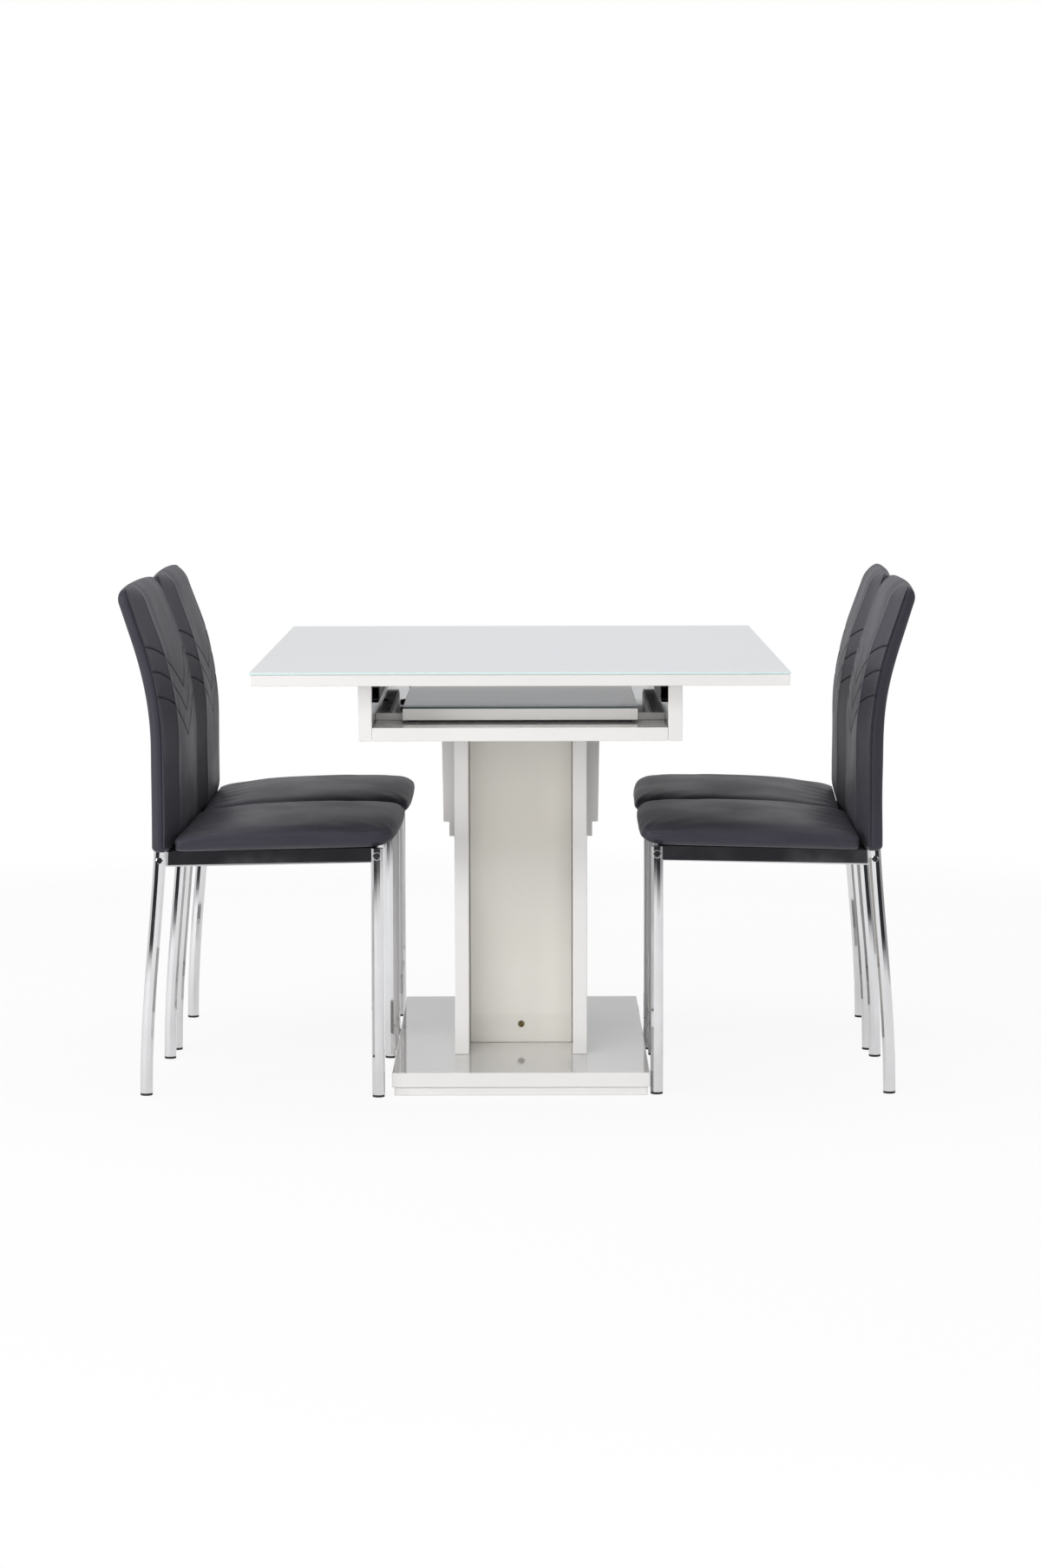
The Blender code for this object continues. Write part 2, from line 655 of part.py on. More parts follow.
def back_point(a, b, c):
    """The back cage: a runs from the rear face to the front, b across and c upwards."""
    share = (c + 1) / 2
    height = BACK_BOTTOM + (BACK_TOP - BACK_BOTTOM) * share
    depth = (a + 1) / 2
    edge = max(abs(b), abs(c)) > 0.99
    thickness = BACK_THICKNESS + BACK_CROWN * (1 - b * b) - BACK_TOP_THINNING * max(share - 0.5, 0.0) * 2
    if c < -0.99:
        thickness *= 0.62
    inset = BACK_EDGE_INSET * abs(a) * (1.3 if a < 0 else 1.0)
    corner = 0.012 if c > 0.99 and abs(b) > 0.99 else 0.0
    y = b * (CUSHION_WIDTH / 2 - (inset if abs(b) > 0.99 else 0.0) - corner)
    x = back_rear_line(height) + depth * thickness
    if c > 0.99:
        x += BACK_TOP_REAR_ROUND * (1 - depth) - BACK_TOP_FRONT_ROUND * depth
    elif edge and a < 0:
        x += BACK_EDGE_INSET * 0.5
    return Vector((x, y, height - corner * 0.5))


def surface_point(tree, y, z):
    """The point of the front face at a place across and up, found by a ray from the front."""
    hit = tree.ray_cast(Vector((1.0, y, z)), Vector((-1.0, 0.0, 0.0)))[0]
    return hit


def chevron_paths(mesh):
    """Three nested V lines on the front face, from the edges down to a tip in the middle."""
    shape = bmesh.new()
    shape.from_mesh(mesh)
    tree = BVHTree.FromBMesh(shape)
    shape.free()
    reach = CUSHION_WIDTH / 2 - BACK_EDGE_INSET * 1.6
    steps = 4
    paths = []
    for index in range(CHEVRON_COUNT):
        tip = CHEVRON_FIRST_TIP - index * CHEVRON_PITCH
        path = []
        for step in range(-steps, steps + 1):
            share = step / steps
            path.append(surface_point(tree, reach * share, tip + CHEVRON_RISE * abs(share)))
        for end in (0, -1):
            outside = path[end].copy()
            outside.y += math.copysign(0.015, outside.y)
            outside.x -= 0.006
            path.insert(0 if end == 0 else len(path), outside)
        paths.append([tuple(point) for point in path])
    return paths


def back_cushion_mesh():
    cuts_across = (-1, -0.9, -0.34, 0.34, 0.9, 1)
    cuts_up = (-1, -0.86, -0.3, 0.2, 0.62, 0.9, 1)
    form = caged_mesh("back_form", ((-1, 0, 1), cuts_across, cuts_up), back_point)
    channels = tube_mesh(chevron_paths(evaluated_mesh(form)), CHANNEL_RADIUS, 1)
    bore = tube_mesh(
        [rear_leg_path(BACK_BOTTOM - 0.03, REAR_LEG_TOP + BORE_CLEARANCE, 5)], TUBE_RADIUS + BORE_CLEARANCE, 3
    )
    half = REAR_LEG_SPACING / 2
    bores = merged([placed(bore, at(0, -half, 0)), placed(bore, at(0, half, 0))])
    cut(form, add_cutter("chevron_channels", channels))
    cut(form, add_cutter("leg_bores", bores))
    mesh = evaluated_mesh(form)
    bpy.data.objects.remove(form)
    return mesh


def build_chairs():
    rear_leg, front_leg = rear_leg_mesh(), front_leg_mesh()
    half_rear, half_front = REAR_LEG_SPACING / 2, FRONT_LEG_SPACING / 2
    mirror = Matrix.Diagonal((1, -1, 1, 1))
    pieces = (
        ("rear_leg_left", placed(rear_leg, at(0, half_rear, 0)), "chrome", True),
        ("rear_leg_right", placed(rear_leg, at(0, -half_rear, 0) @ mirror), "chrome", True),
        ("front_leg_left", placed(front_leg, at(0, half_front, 0)), "chrome", True),
        ("front_leg_right", placed(front_leg, at(0, -half_front, 0) @ mirror), "chrome", True),
        ("seat_frame", seat_frame_mesh(), "chrome", False),
        ("seat_board", seat_board_mesh(), "black board", False),
        ("seat_cushion", seat_cushion_mesh(), "dark leather", True),
        ("back_cushion", back_cushion_mesh(), "dark leather", True),
    )
    for name, side, room, along, turn in CHAIR_PLACES:
        out = BASE_WIDTH / 2 + room + TUBE_RADIUS + front_foot
        facing = math.radians(turn) + (math.pi if side > 0 else 0.0)
        parent = new_parent(name, (side * out, along, 0.0), facing)
        for piece, mesh, look, smooth in pieces:
            add_node(f"{name}_{piece}", mesh, look, parent, smooth=smooth)


clear_scene()
model = new_collection("dining_table_and_chairs")
cutters = new_collection("cutters")
material_of = {
    "white board": lambda name: new_material(name, (0.86, 0.85, 0.83), 0.12),
    "glass": lambda name: new_material(name, (0.74, 0.78, 0.82), 0.03),
    "brass": lambda name: new_material(name, (0.50, 0.36, 0.17), 0.35, 1.0),
    "black steel": lambda name: new_material(name, (0.02, 0.02, 0.022), 0.35, 0.6),
    "steel": lambda name: new_material(name, (0.45, 0.44, 0.42), 0.3, 1.0),
    "black plastic": lambda name: new_material(name, (0.015, 0.015, 0.016), 0.45),
    "black board": lambda name: new_material(name, (0.03, 0.03, 0.03), 0.7),
    "chrome": lambda name: new_material(name, (0.78, 0.78, 0.78), 0.06, 1.0),
    "dark leather": lambda name: new_material(name, (0.035, 0.036, 0.045), 0.42),
}
table_top = new_parent("table_top")
cage_carrier = new_parent("cage_carrier")
stored_leaf = new_parent("stored_leaf")
build_base()
build_pedestal()
build_corbels()
build_box()
build_slides(table_top, cage_carrier)
build_top(table_top)
build_leaf(stored_leaf)
build_chairs()
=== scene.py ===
import json
import math

import bpy
import numpy as np
from mathutils import Matrix, Vector


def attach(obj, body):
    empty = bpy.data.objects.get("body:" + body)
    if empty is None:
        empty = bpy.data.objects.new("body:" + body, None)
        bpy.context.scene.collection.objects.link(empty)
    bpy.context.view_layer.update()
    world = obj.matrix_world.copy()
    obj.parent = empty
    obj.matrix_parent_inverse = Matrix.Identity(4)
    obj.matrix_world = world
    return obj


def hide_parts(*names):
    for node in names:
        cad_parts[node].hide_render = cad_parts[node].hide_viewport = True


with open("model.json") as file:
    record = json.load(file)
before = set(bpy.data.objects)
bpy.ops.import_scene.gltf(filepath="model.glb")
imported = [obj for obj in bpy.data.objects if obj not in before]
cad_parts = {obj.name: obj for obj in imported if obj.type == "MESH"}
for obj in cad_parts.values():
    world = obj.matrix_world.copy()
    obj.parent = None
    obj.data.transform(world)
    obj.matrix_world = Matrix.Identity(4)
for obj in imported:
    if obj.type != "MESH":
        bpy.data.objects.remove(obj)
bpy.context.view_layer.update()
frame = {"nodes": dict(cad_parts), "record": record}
nodes = frame["nodes"]

# Each chair's body, its side of the table, its place out and along in metres, and its turn in degrees.
chairPlaces = (
    ("chair_left_near", -1, 0.4445, -0.2175, -1.2),
    ("chair_left_far", -1, 0.4376, 0.2365, 0.2),
    ("chair_right_near", 1, 0.4415, -0.2020, -1.2),
    ("chair_right_far", 1, 0.4480, 0.2335, -2.8),
)


# Shader nodes

def setInput(tree, socket, value):  # links another node's output, or sets a plain value
    if isinstance(value, bpy.types.NodeSocket):
        tree.links.new(value, socket)
    else:
        socket.default_value = value


def addNode(tree, kind, inputs=None, **settings):
    node = tree.nodes.new("ShaderNode" + kind)
    for key, value in settings.items():
        setattr(node, key, value)
    for key, value in (inputs or {}).items():
        setInput(tree, node.inputs[key], value)
    return node


def maths(tree, operation, first, second=0.0, clamp=False):
    return addNode(tree, "Math", {0: first, 1: second}, operation=operation, use_clamp=clamp).outputs[0]


def ramp(tree, value, low, high, start=0.0, end=1.0):
    inputs = {0: value, 1: low, 2: high, 3: start, 4: end}
    return addNode(tree, "MapRange", inputs, interpolation_type="SMOOTHSTEP").outputs[0]


def blendColour(tree, share, first, second):
    return addNode(tree, "Mix", {0: share, 6: first, 7: second}, data_type="RGBA").outputs[2]


def between(tree, share, first, second):  # first + share (second - first)
    span = maths(tree, "SUBTRACT", second, first)
    return maths(tree, "ADD", first, maths(tree, "MULTIPLY", share, span))


def noise(tree, place, scale, detail):
    return addNode(tree, "TexNoise", {"Vector": place, "Scale": scale, "Detail": detail}).outputs["Fac"]


def opaque(colour, shade=1.0):
    return (*[part * shade for part in colour], 1)


def newGroup(name, takes, gives):
    group = bpy.data.node_groups.new(name, "ShaderNodeTree")
    for label, kind, value in takes:
        socket = group.interface.new_socket(name=label, in_out="INPUT", socket_type="NodeSocket" + kind)
        if value is not None:
            socket.default_value = value
    for label, kind in gives:
        group.interface.new_socket(name=label, in_out="OUTPUT", socket_type="NodeSocket" + kind)
    return group, group.nodes.new("NodeGroupInput").outputs, group.nodes.new("NodeGroupOutput").inputs


def placeGroup(tree, group, inputs):
    return addNode(tree, "Group", inputs, node_tree=group).outputs


def newMaterial(name, constants):
    material = bpy.data.materials.new(name)
    material.use_nodes = True
    tree = material.node_tree
    tree.nodes.clear()
    shader = tree.nodes.new("ShaderNodeBsdfPrincipled")
    for key, value in constants.items():
        shader.inputs[key].default_value = value
    output = tree.nodes.new("ShaderNodeOutputMaterial")
    tree.links.new(shader.outputs["BSDF"], output.inputs["Surface"])
    place = addNode(tree, "TexCoord").outputs["Object"]
    return material, tree, shader.inputs, place


def bumped(tree, shader, height, strength, distance):
    bump = addNode(tree, "Bump", {"Strength": strength, "Distance": distance, "Height": height})
    tree.links.new(bump.outputs["Normal"], shader["Normal"])


# Effects that several materials share

toneValues = {"detail": 4.0, "roughness": 0.55, "darkBelow": 0.32, "lightAbove": 0.68}
grainValues = {"bendScale": 260.0, "bend": 0.0012, "creaseWidth": 0.16, "creaseShare": 0.35}
polishValues = {"smudges": 14.0, "smudgeFrom": 0.42, "smudgeTo": 0.72, "smudgeShare": 0.7, "lineShare": 0.3}


def buildToneGroup(v):
    # Soft patches of noise: both the colour and the roughness go from one value to the other with them.
    group, given, put = newGroup(
        "softTone",
        (("Vector", "Vector", None), ("Scale", "Float", 5.0), ("Dark", "Color", (0.4, 0.4, 0.4, 1)),
         ("Light", "Color", (0.5, 0.5, 0.5, 1)), ("Smooth", "Float", 0.2), ("Rough", "Float", 0.3)),
        (("Color", "Color"), ("Roughness", "Float")),
    )
    patches = addNode(group, "TexNoise", {
        "Vector": given["Vector"], "Scale": given["Scale"],
        "Detail": v["detail"], "Roughness": v["roughness"]})
    mask = ramp(group, patches.outputs["Fac"], v["darkBelow"], v["lightAbove"])
    group.links.new(blendColour(group, mask, given["Dark"], given["Light"]), put["Color"])
    group.links.new(between(group, mask, given["Smooth"], given["Rough"]), put["Roughness"])
    return group


def buildGrainGroup(v):
    # Embossed skin: small rounded cells with fine creases between them, and slow ripples under them.
    group, given, put = newGroup(
        "skinGrain",
        (("Vector", "Vector", None), ("Cells", "Float", 900.0), ("Ripple", "Float", 26.0)),
        (("Height", "Float"), ("Crease", "Float")),
    )
    place = given["Vector"]
    bent = addNode(group, "TexNoise", {"Vector": place, "Scale": v["bendScale"], "Detail": 2.0})
    inputs = {0: bent.outputs["Color"], 3: v["bend"]}
    shift = addNode(group, "VectorMath", inputs, operation="SCALE").outputs[0]
    moved = addNode(group, "VectorMath", {0: place, 1: shift}, operation="ADD").outputs[0]
    inputs = {"Vector": moved, "Scale": given["Cells"]}
    cells = addNode(group, "TexVoronoi", inputs, feature="DISTANCE_TO_EDGE")
    crease = ramp(group, cells.outputs["Distance"], 0.0, v["creaseWidth"])
    ripple = noise(group, place, given["Ripple"], 3.0)
    height = maths(group, "ADD", maths(group, "MULTIPLY", crease, v["creaseShare"]), ripple)
    group.links.new(height, put["Height"])
    group.links.new(crease, put["Crease"])
    return group


def buildPolishGroup(v):
    # Polished metal: long faint lines along one axis, and soft finger smudges.
    group, given, put = newGroup(
        "polishLines",
        (("Vector", "Vector", None), ("Stretch", "Vector", (220.0, 220.0, 6.0)), ("Smooth", "Float", 0.04),
         ("Rough", "Float", 0.12)),
        (("Roughness", "Float"), ("Height", "Float")),
    )
    inputs = {0: given["Vector"], 1: given["Stretch"]}
    stretched = addNode(group, "VectorMath", inputs, operation="MULTIPLY").outputs[0]
    lines = noise(group, stretched, 1.0, 3.0)
    smudge = ramp(group, noise(group, given["Vector"], v["smudges"], 5.0), v["smudgeFrom"], v["smudgeTo"])
    smudge = maths(group, "MULTIPLY", smudge, v["smudgeShare"])
    share = maths(group, "ADD", smudge, maths(group, "MULTIPLY", lines, v["lineShare"]), clamp=True)
    group.links.new(between(group, share, given["Smooth"], given["Rough"]), put["Roughness"])
    group.links.new(lines, put["Height"])
    return group


toneGroup = buildToneGroup(toneValues)
grainGroup = buildGrainGroup(grainValues)
polishGroup = buildPolishGroup(polishValues)


# Boards: white lacquer under a thin clear coat

lacquerValues = {
    "coat": 0.35, "coatRough": 0.05, "smooth": 0.02, "rough": 0.05, "patches": 3.0, "ripples": 150.0,
    "bump": 0.02, "depth": 0.0002, "catch": (0.03, 0.03, 0.032),
}


def lacquerMaterial(name, dark, light, catchTop=0.0):
    v = lacquerValues
    constants = {"IOR": 1.5, "Coat Weight": v["coat"], "Coat Roughness": v["coatRough"]}
    material, tree, shader, place = newMaterial(name, constants)
    tone = placeGroup(tree, toneGroup, {
        "Vector": place, "Scale": v["patches"], "Dark": opaque(dark), "Light": opaque(light),
        "Smooth": v["smooth"], "Rough": v["rough"]})
    colour = tone["Color"]
    if catchTop:  # below this height the board is its dark steel catches
        bare = maths(tree, "GREATER_THAN", addNode(tree, "SeparateXYZ", {0: place}).outputs["Z"], catchTop)
        colour = blendColour(tree, bare, opaque(v["catch"]), colour)
    tree.links.new(colour, shader["Base Color"])
    tree.links.new(tone["Roughness"], shader["Roughness"])
    bumped(tree, shader, noise(tree, place, v["ripples"], 2.0), v["bump"], v["depth"])
    return material


# Glass painted below: a smooth tone under the gloss, and a tinted cut edge

glassValues = {
    "smooth": 0.03, "rough": 0.07, "patches": 1.6, "edgeBelow": 0.35, "faceAbove": 0.85, "ripples": 5.0,
    "bump": 0.02, "depth": 0.0001,
}


def glassMaterial(name, dark, light, edge):
    v = glassValues
    material, tree, shader, place = newMaterial(name, {"IOR": 1.5, "Coat Weight": 0.0})
    tone = placeGroup(tree, toneGroup, {
        "Vector": place, "Scale": v["patches"], "Dark": opaque(dark), "Light": opaque(light),
        "Smooth": v["smooth"], "Rough": v["rough"]})
    normal = addNode(tree, "TexCoord").outputs["Normal"]
    upward = addNode(tree, "SeparateXYZ", {0: normal}).outputs["Z"]
    face = ramp(tree, maths(tree, "ABSOLUTE", upward), v["edgeBelow"], v["faceAbove"])
    tree.links.new(blendColour(tree, face, opaque(edge), tone["Color"]), shader["Base Color"])
    tree.links.new(tone["Roughness"], shader["Roughness"])
    bumped(tree, shader, noise(tree, place, v["ripples"], 0.0), v["bump"], v["depth"])
    return material


# Polished or brushed metal

metalValues = {
    "dullShade": 0.93, "patches": 11.0, "bump": 0.02, "depth": 0.0002, "plug": (0.012, 0.012, 0.013),
    "plugRough": 0.5,
}


def metalMaterial(name, colour, smooth, rough, stretch=(220.0, 220.0, 6.0), plugTop=0.0):
    v = metalValues
    material, tree, shader, place = newMaterial(name, {"Metallic": 1.0})
    polish = placeGroup(tree, polishGroup, {
        "Vector": place, "Stretch": stretch, "Smooth": smooth, "Rough": rough})
    tone = placeGroup(tree, toneGroup, {
        "Vector": place, "Scale": v["patches"],
        "Dark": opaque(colour, v["dullShade"]), "Light": opaque(colour)})
    colourOut, roughOut = tone["Color"], polish["Roughness"]
    if plugTop:  # below this height a leg is its black foot plug
        bare = maths(tree, "GREATER_THAN", addNode(tree, "SeparateXYZ", {0: place}).outputs["Z"], plugTop)
        colourOut = blendColour(tree, bare, opaque(v["plug"]), tone["Color"])
        added = maths(tree, "MULTIPLY", maths(tree, "SUBTRACT", 1.0, bare), v["plugRough"])
        roughOut = maths(tree, "ADD", added, roughOut)
        tree.links.new(bare, shader["Metallic"])
    tree.links.new(colourOut, shader["Base Color"])
    tree.links.new(roughOut, shader["Roughness"])
    bumped(tree, shader, polish["Height"], v["bump"], v["depth"])
    return material


# Cover screws: dull brass with a dark rim and a dark slot across

brassValues = {
    "colour": (0.40, 0.30, 0.14), "rimAndSlot": (0.03, 0.025, 0.015), "centre": (0.0, 0.0, 0.0745), "rim": 0.0048,
    "rimFade": 0.0006, "slot": 0.0007, "acrossSlot": (0.94, 0.0, 0.34), "stretch": (90.0, 90.0, 90.0),
    "smooth": 0.25, "rough": 0.5, "bump": 0.3, "depth": 0.0004,
}


def brassMaterial(v):
    material, tree, shader, place = newMaterial("oldBrass", {"Metallic": 1.0})
    centred = addNode(tree, "Mapping", {"Vector": place, "Location": [-c for c in v["centre"]]}).outputs[0]
    flat = addNode(tree, "VectorMath", {0: centred, 1: (1.0, 0.0, 1.0)}, operation="MULTIPLY").outputs[0]
    reach = addNode(tree, "VectorMath", {0: flat}, operation="LENGTH").outputs["Value"]
    across = addNode(tree, "VectorMath", {0: flat, 1: v["acrossSlot"]}, operation="DOT_PRODUCT")
    slot = maths(tree, "LESS_THAN", maths(tree, "ABSOLUTE", across.outputs["Value"]), v["slot"])
    dark = maths(tree, "MAXIMUM", ramp(tree, reach, v["rim"], v["rim"] + v["rimFade"]), slot)
    polish = placeGroup(tree, polishGroup, {
        "Vector": place, "Stretch": v["stretch"], "Smooth": v["smooth"], "Rough": v["rough"]})
    # darker round the rim and in the slot
    tree.links.new(blendColour(tree, dark, opaque(v["colour"]), opaque(v["rimAndSlot"])), shader["Base Color"])
    tree.links.new(polish["Roughness"], shader["Roughness"])
    bumped(tree, shader, maths(tree, "SUBTRACT", polish["Height"], dark), v["bump"], v["depth"])
    return material


# Plastic, painted steel, raw board and thread

plainValues = {"patches": 40.0, "grains": 900.0, "bump": 0.12, "depth": 0.0003}


def plainMaterial(name, dark, light, smooth, rough, metallic=0.0):
    v = plainValues
    material, tree, shader, place = newMaterial(name, {"Metallic": metallic})
    tone = placeGroup(tree, toneGroup, {
        "Vector": place, "Scale": v["patches"], "Dark": opaque(dark), "Light": opaque(light),
        "Smooth": smooth, "Rough": rough})
    tree.links.new(tone["Color"], shader["Base Color"])
    tree.links.new(tone["Roughness"], shader["Roughness"])
    bumped(tree, shader, noise(tree, place, v["grains"], 2.0), v["bump"], v["depth"])
    return material


# Grained leather: painted shade darkens the sewn lines, and the ridges are polished by wear and lightened by
# a painted highlight

leatherValues = {
    # the darkest colour here is painted shade for the sewn lines
    "dark": (0.0390, 0.0375, 0.0490), "light": (0.0465, 0.0450, 0.0585), "sewnShade": (0.011, 0.011, 0.013),
    "smooth": 0.40, "rough": 0.50, "sewnRough": 0.35, "wornPolish": 0.07, "gloss": 0.22,
    "tint": (0.92, 0.88, 1.0), "coat": 0.04, "coatRough": 0.30, "sheen": 0.02, "sheenRough": 0.5,
    # the light colour made lighter paints a highlight on the ridges
    "patches": 9.0, "creaseShade": 0.7, "paintedHighlightShade": 1.7, "cells": 850.0, "ripples": 30.0, "bump": 0.35,
    "depth": 0.0006,
}


def leatherMaterial(v):
    material, tree, shader, place = newMaterial("darkLeather", {
        "IOR": 1.5, "Specular IOR Level": v["gloss"], "Specular Tint": opaque(v["tint"]),
        "Coat Weight": v["coat"], "Coat Roughness": v["coatRough"],
        "Sheen Weight": v["sheen"], "Sheen Roughness": v["sheenRough"]})
    grain = placeGroup(tree, grainGroup, {"Vector": place, "Cells": v["cells"], "Ripple": v["ripples"]})
    tone = placeGroup(tree, toneGroup, {
        "Vector": place, "Scale": v["patches"], "Dark": opaque(v["dark"]), "Light": opaque(v["light"]),
        "Smooth": v["smooth"], "Rough": v["rough"]})
    # painted shade darkens the grain's creases
    creasePaintedShade = blendColour(tree, grain["Crease"], opaque(v["dark"], v["creaseShade"]), tone["Color"])
    # the ridges are polished by wear and lightened by a painted highlight
    wearAndHighlight = addNode(tree, "Attribute", attribute_name="wearAndHighlight").outputs["Fac"]
    rubbed = blendColour(tree, wearAndHighlight, creasePaintedShade, opaque(v["light"], v["paintedHighlightShade"]))
    # painted shade darkens the sewn lines
    sewnShade = addNode(tree, "Attribute", attribute_name="sewnShade").outputs["Fac"]
    tree.links.new(blendColour(tree, sewnShade, rubbed, opaque(v["sewnShade"])), shader["Base Color"])
    rough = maths(tree, "SUBTRACT", tone["Roughness"], maths(tree, "MULTIPLY", wearAndHighlight, v["wornPolish"]))
    rough = maths(tree, "ADD", rough, maths(tree, "MULTIPLY", sewnShade, v["sewnRough"]))
    tree.links.new(rough, shader["Roughness"])
    bumped(tree, shader, grain["Height"], v["bump"], v["depth"])
    return material


# What each finish gives its kind of material

finishValues = {
    "whiteLacquer": {"dark": (0.755, 0.738, 0.722), "light": (0.785, 0.770, 0.755)},
    # the pedestal panel's white lacquer, made lighter and warmer by painted bounce light
    "panelLacquer": {"dark": (0.82, 0.795, 0.735), "light": (0.85, 0.83, 0.775)},
    # the leaf board's white lacquer, made lighter by painted light inside the box
    "leafLacquer": {"dark": (0.88, 0.865, 0.835), "light": (0.90, 0.89, 0.86), "catchTop": 0.6569},
    "topGlass": {"dark": (0.685, 0.705, 0.735), "light": (0.705, 0.725, 0.755), "edge": (0.60, 0.76, 0.74)},
    "leafGlass": {"dark": (0.50, 0.53, 0.57), "light": (0.56, 0.59, 0.63), "edge": (0.09, 0.11, 0.11)},
    "blackSteel": {
        "dark": (0.012, 0.012, 0.013), "light": (0.03, 0.03, 0.032), "smooth": 0.25, "rough": 0.45,
        "metallic": 0.4},
    "blackPlastic": {
        "dark": (0.012, 0.012, 0.013), "light": (0.022, 0.022, 0.024), "smooth": 0.40, "rough": 0.55},
    "blackBoard": {
        "dark": (0.02, 0.02, 0.021), "light": (0.035, 0.035, 0.036), "smooth": 0.65, "rough": 0.80},
    "darkThread": {
        "dark": (0.010, 0.010, 0.012), "light": (0.025, 0.025, 0.028), "smooth": 0.60, "rough": 0.75},
    "slideSteel": {
        "colour": (0.60, 0.59, 0.57), "smooth": 0.12, "rough": 0.30, "stretch": (160.0, 5.0, 160.0)},
    "chromePlate": {"colour": (0.80, 0.80, 0.81), "smooth": 0.025, "rough": 0.09},
    "chromeLeg": {"colour": (0.80, 0.80, 0.81), "smooth": 0.025, "rough": 0.09, "plugTop": 0.0041},
}


def finished(makeMaterial, name):
    return makeMaterial(name, **finishValues[name])


whiteLacquer = finished(lacquerMaterial, "whiteLacquer")
panelLacquer = finished(lacquerMaterial, "panelLacquer")
leafLacquer = finished(lacquerMaterial, "leafLacquer")
topGlass = finished(glassMaterial, "topGlass")
leafGlass = finished(glassMaterial, "leafGlass")
blackSteel = finished(plainMaterial, "blackSteel")
blackPlastic = finished(plainMaterial, "blackPlastic")
blackBoard = finished(plainMaterial, "blackBoard")
thread = finished(plainMaterial, "darkThread")
steel = finished(metalMaterial, "slideSteel")
chrome = finished(metalMaterial, "chromePlate")
chromeLeg = finished(metalMaterial, "chromeLeg")
brass = brassMaterial(brassValues)
leather = leatherMaterial(leatherValues)

slotMaterials = {
    "white_board": whiteLacquer, "glass": topGlass, "brass": brass, "black_steel": blackSteel, "steel": steel,
    "black_plastic": blackPlastic, "black_board": blackBoard, "chrome": chrome, "dark_leather": leather,
}
ownFinishes = {  # for the nodes whose names hold these words, in place of their slot's finish
    "leaf_glass": leafGlass, "leaf_board": leafLacquer, "pedestal_panel": panelLacquer, "_leg_": chromeLeg,
}
slotOf = {row["node"]: row["material_slot"] for row in frame["record"]["subparts"]}
for name, node in nodes.items():
    material = slotMaterials[slotOf[name]]
    for part, finish in ownFinishes.items():
        if part in name:
            material = finish
    if not node.material_slots:
        node.data.materials.append(material)
    for held in node.material_slots:
        held.material = material
print("materials on", len(nodes), "nodes")


# Meshes and grids

def addObject(name, data):
    item = bpy.data.objects.new(name, data)
    bpy.context.scene.collection.objects.link(item)
    return item


def meshObject(name, points, faces, material):
    mesh = bpy.data.meshes.new(name)
    mesh.from_pydata(np.asarray(points, float).tolist(), [], [list(f) for f in faces])
    mesh.polygons.foreach_set("use_smooth", np.full(len(mesh.polygons), True))
    mesh.materials.append(material)
    mesh.update()
    return addObject(name, mesh)


def closedGridFaces(rows, columns, start=0):
    # Point (i, j) is i * columns + j. Quads join it to (i + 1, j + 1), j going round, and each end has a cap.
    row, column = np.meshgrid(np.arange(rows - 1), np.arange(columns), indexing="ij")
    after = (column + 1) % columns
    corners = [row * columns + column, row * columns + after,
               (row + 1) * columns + after, (row + 1) * columns + column]
    faces = (np.stack(corners, -1).reshape(-1, 4) + start).tolist()
    faces.append((start + np.arange(columns))[::-1].tolist())
    faces.append((start + (rows - 1) * columns + np.arange(columns)).tolist())
    return faces


def smoothStep(low, high, value):  # 3 t^2 - 2 t^3 from low to high
    share = np.clip((value - low) / (high - low), 0, 1)
    return share * share * (3 - 2 * share)


def bell(value, width):  # exp(-(t / w)^2)
    return np.exp(-(value / width) ** 2)


def gridNormals(grid):
    # The cross product of the steps along and up a grid that is closed along its columns.
    along = np.roll(grid, -1, 1) - np.roll(grid, 1, 1)
    up = np.gradient(grid, axis=0)
    normal = np.cross(along, up)
    return normal / np.maximum(np.linalg.norm(normal, axis=-1, keepdims=True), 1e-12)


def boxGrid(stations):
    # The surface of a box divided at stations along each axis. Point (i, j, k) has the key
    # i + span j + span^2 k, by which the six sides share their edges. Gives points and outward quads.
    span = 1000
    counts = [len(s) for s in stations]
    faces = []
    for axis in range(3):
        first, second = (axis + 1) % 3, (axis + 2) % 3
        for side in (0, counts[axis] - 1):
            a, b = np.meshgrid(np.arange(counts[first] - 1), np.arange(counts[second] - 1), indexing="ij")
            corners = []
            for da, db in ((0, 0), (1, 0), (1, 1), (0, 1)):
                cell = {axis: np.full(a.shape, side), first: a + da, second: b + db}
                corners.append(cell[0] + span * cell[1] + span ** 2 * cell[2])
            quad = np.stack(corners, -1).reshape(-1, 4)
            faces.append(quad if side else quad[:, ::-1])
    faces = np.concatenate(faces)
    keys, flat = np.unique(faces, return_inverse=True)
    cells = (keys % span, keys // span % span, keys // span ** 2)
    points = np.stack([np.asarray(stations[axis])[cells[axis]] for axis in range(3)], -1)
    return points, flat.reshape(faces.shape)


def chairMatrix(side, out, along, turn):
    facing = math.radians(turn) + (math.pi if side > 0 else 0.0)
    return Matrix.Translation((side * out, along, 0.0)) @ Matrix.Rotation(facing, 4, "Z")


def placedCopy(item, name, matrix):
    mesh = item.data.copy()
    mesh.transform(matrix)
    mesh.name = name
    return addObject(name, mesh)


def applyModifiers(item):
    mesh = bpy.data.meshes.new_from_object(item.evaluated_get(bpy.context.evaluated_depsgraph_get()))
    item.modifiers.clear()
    old = item.data
    item.data = mesh
    bpy.data.meshes.remove(old)


def subdivide(item, levels):
    soft = item.modifiers.new("soft", "SUBSURF")
    soft.levels = soft.render_levels = levels
    applyModifiers(item)


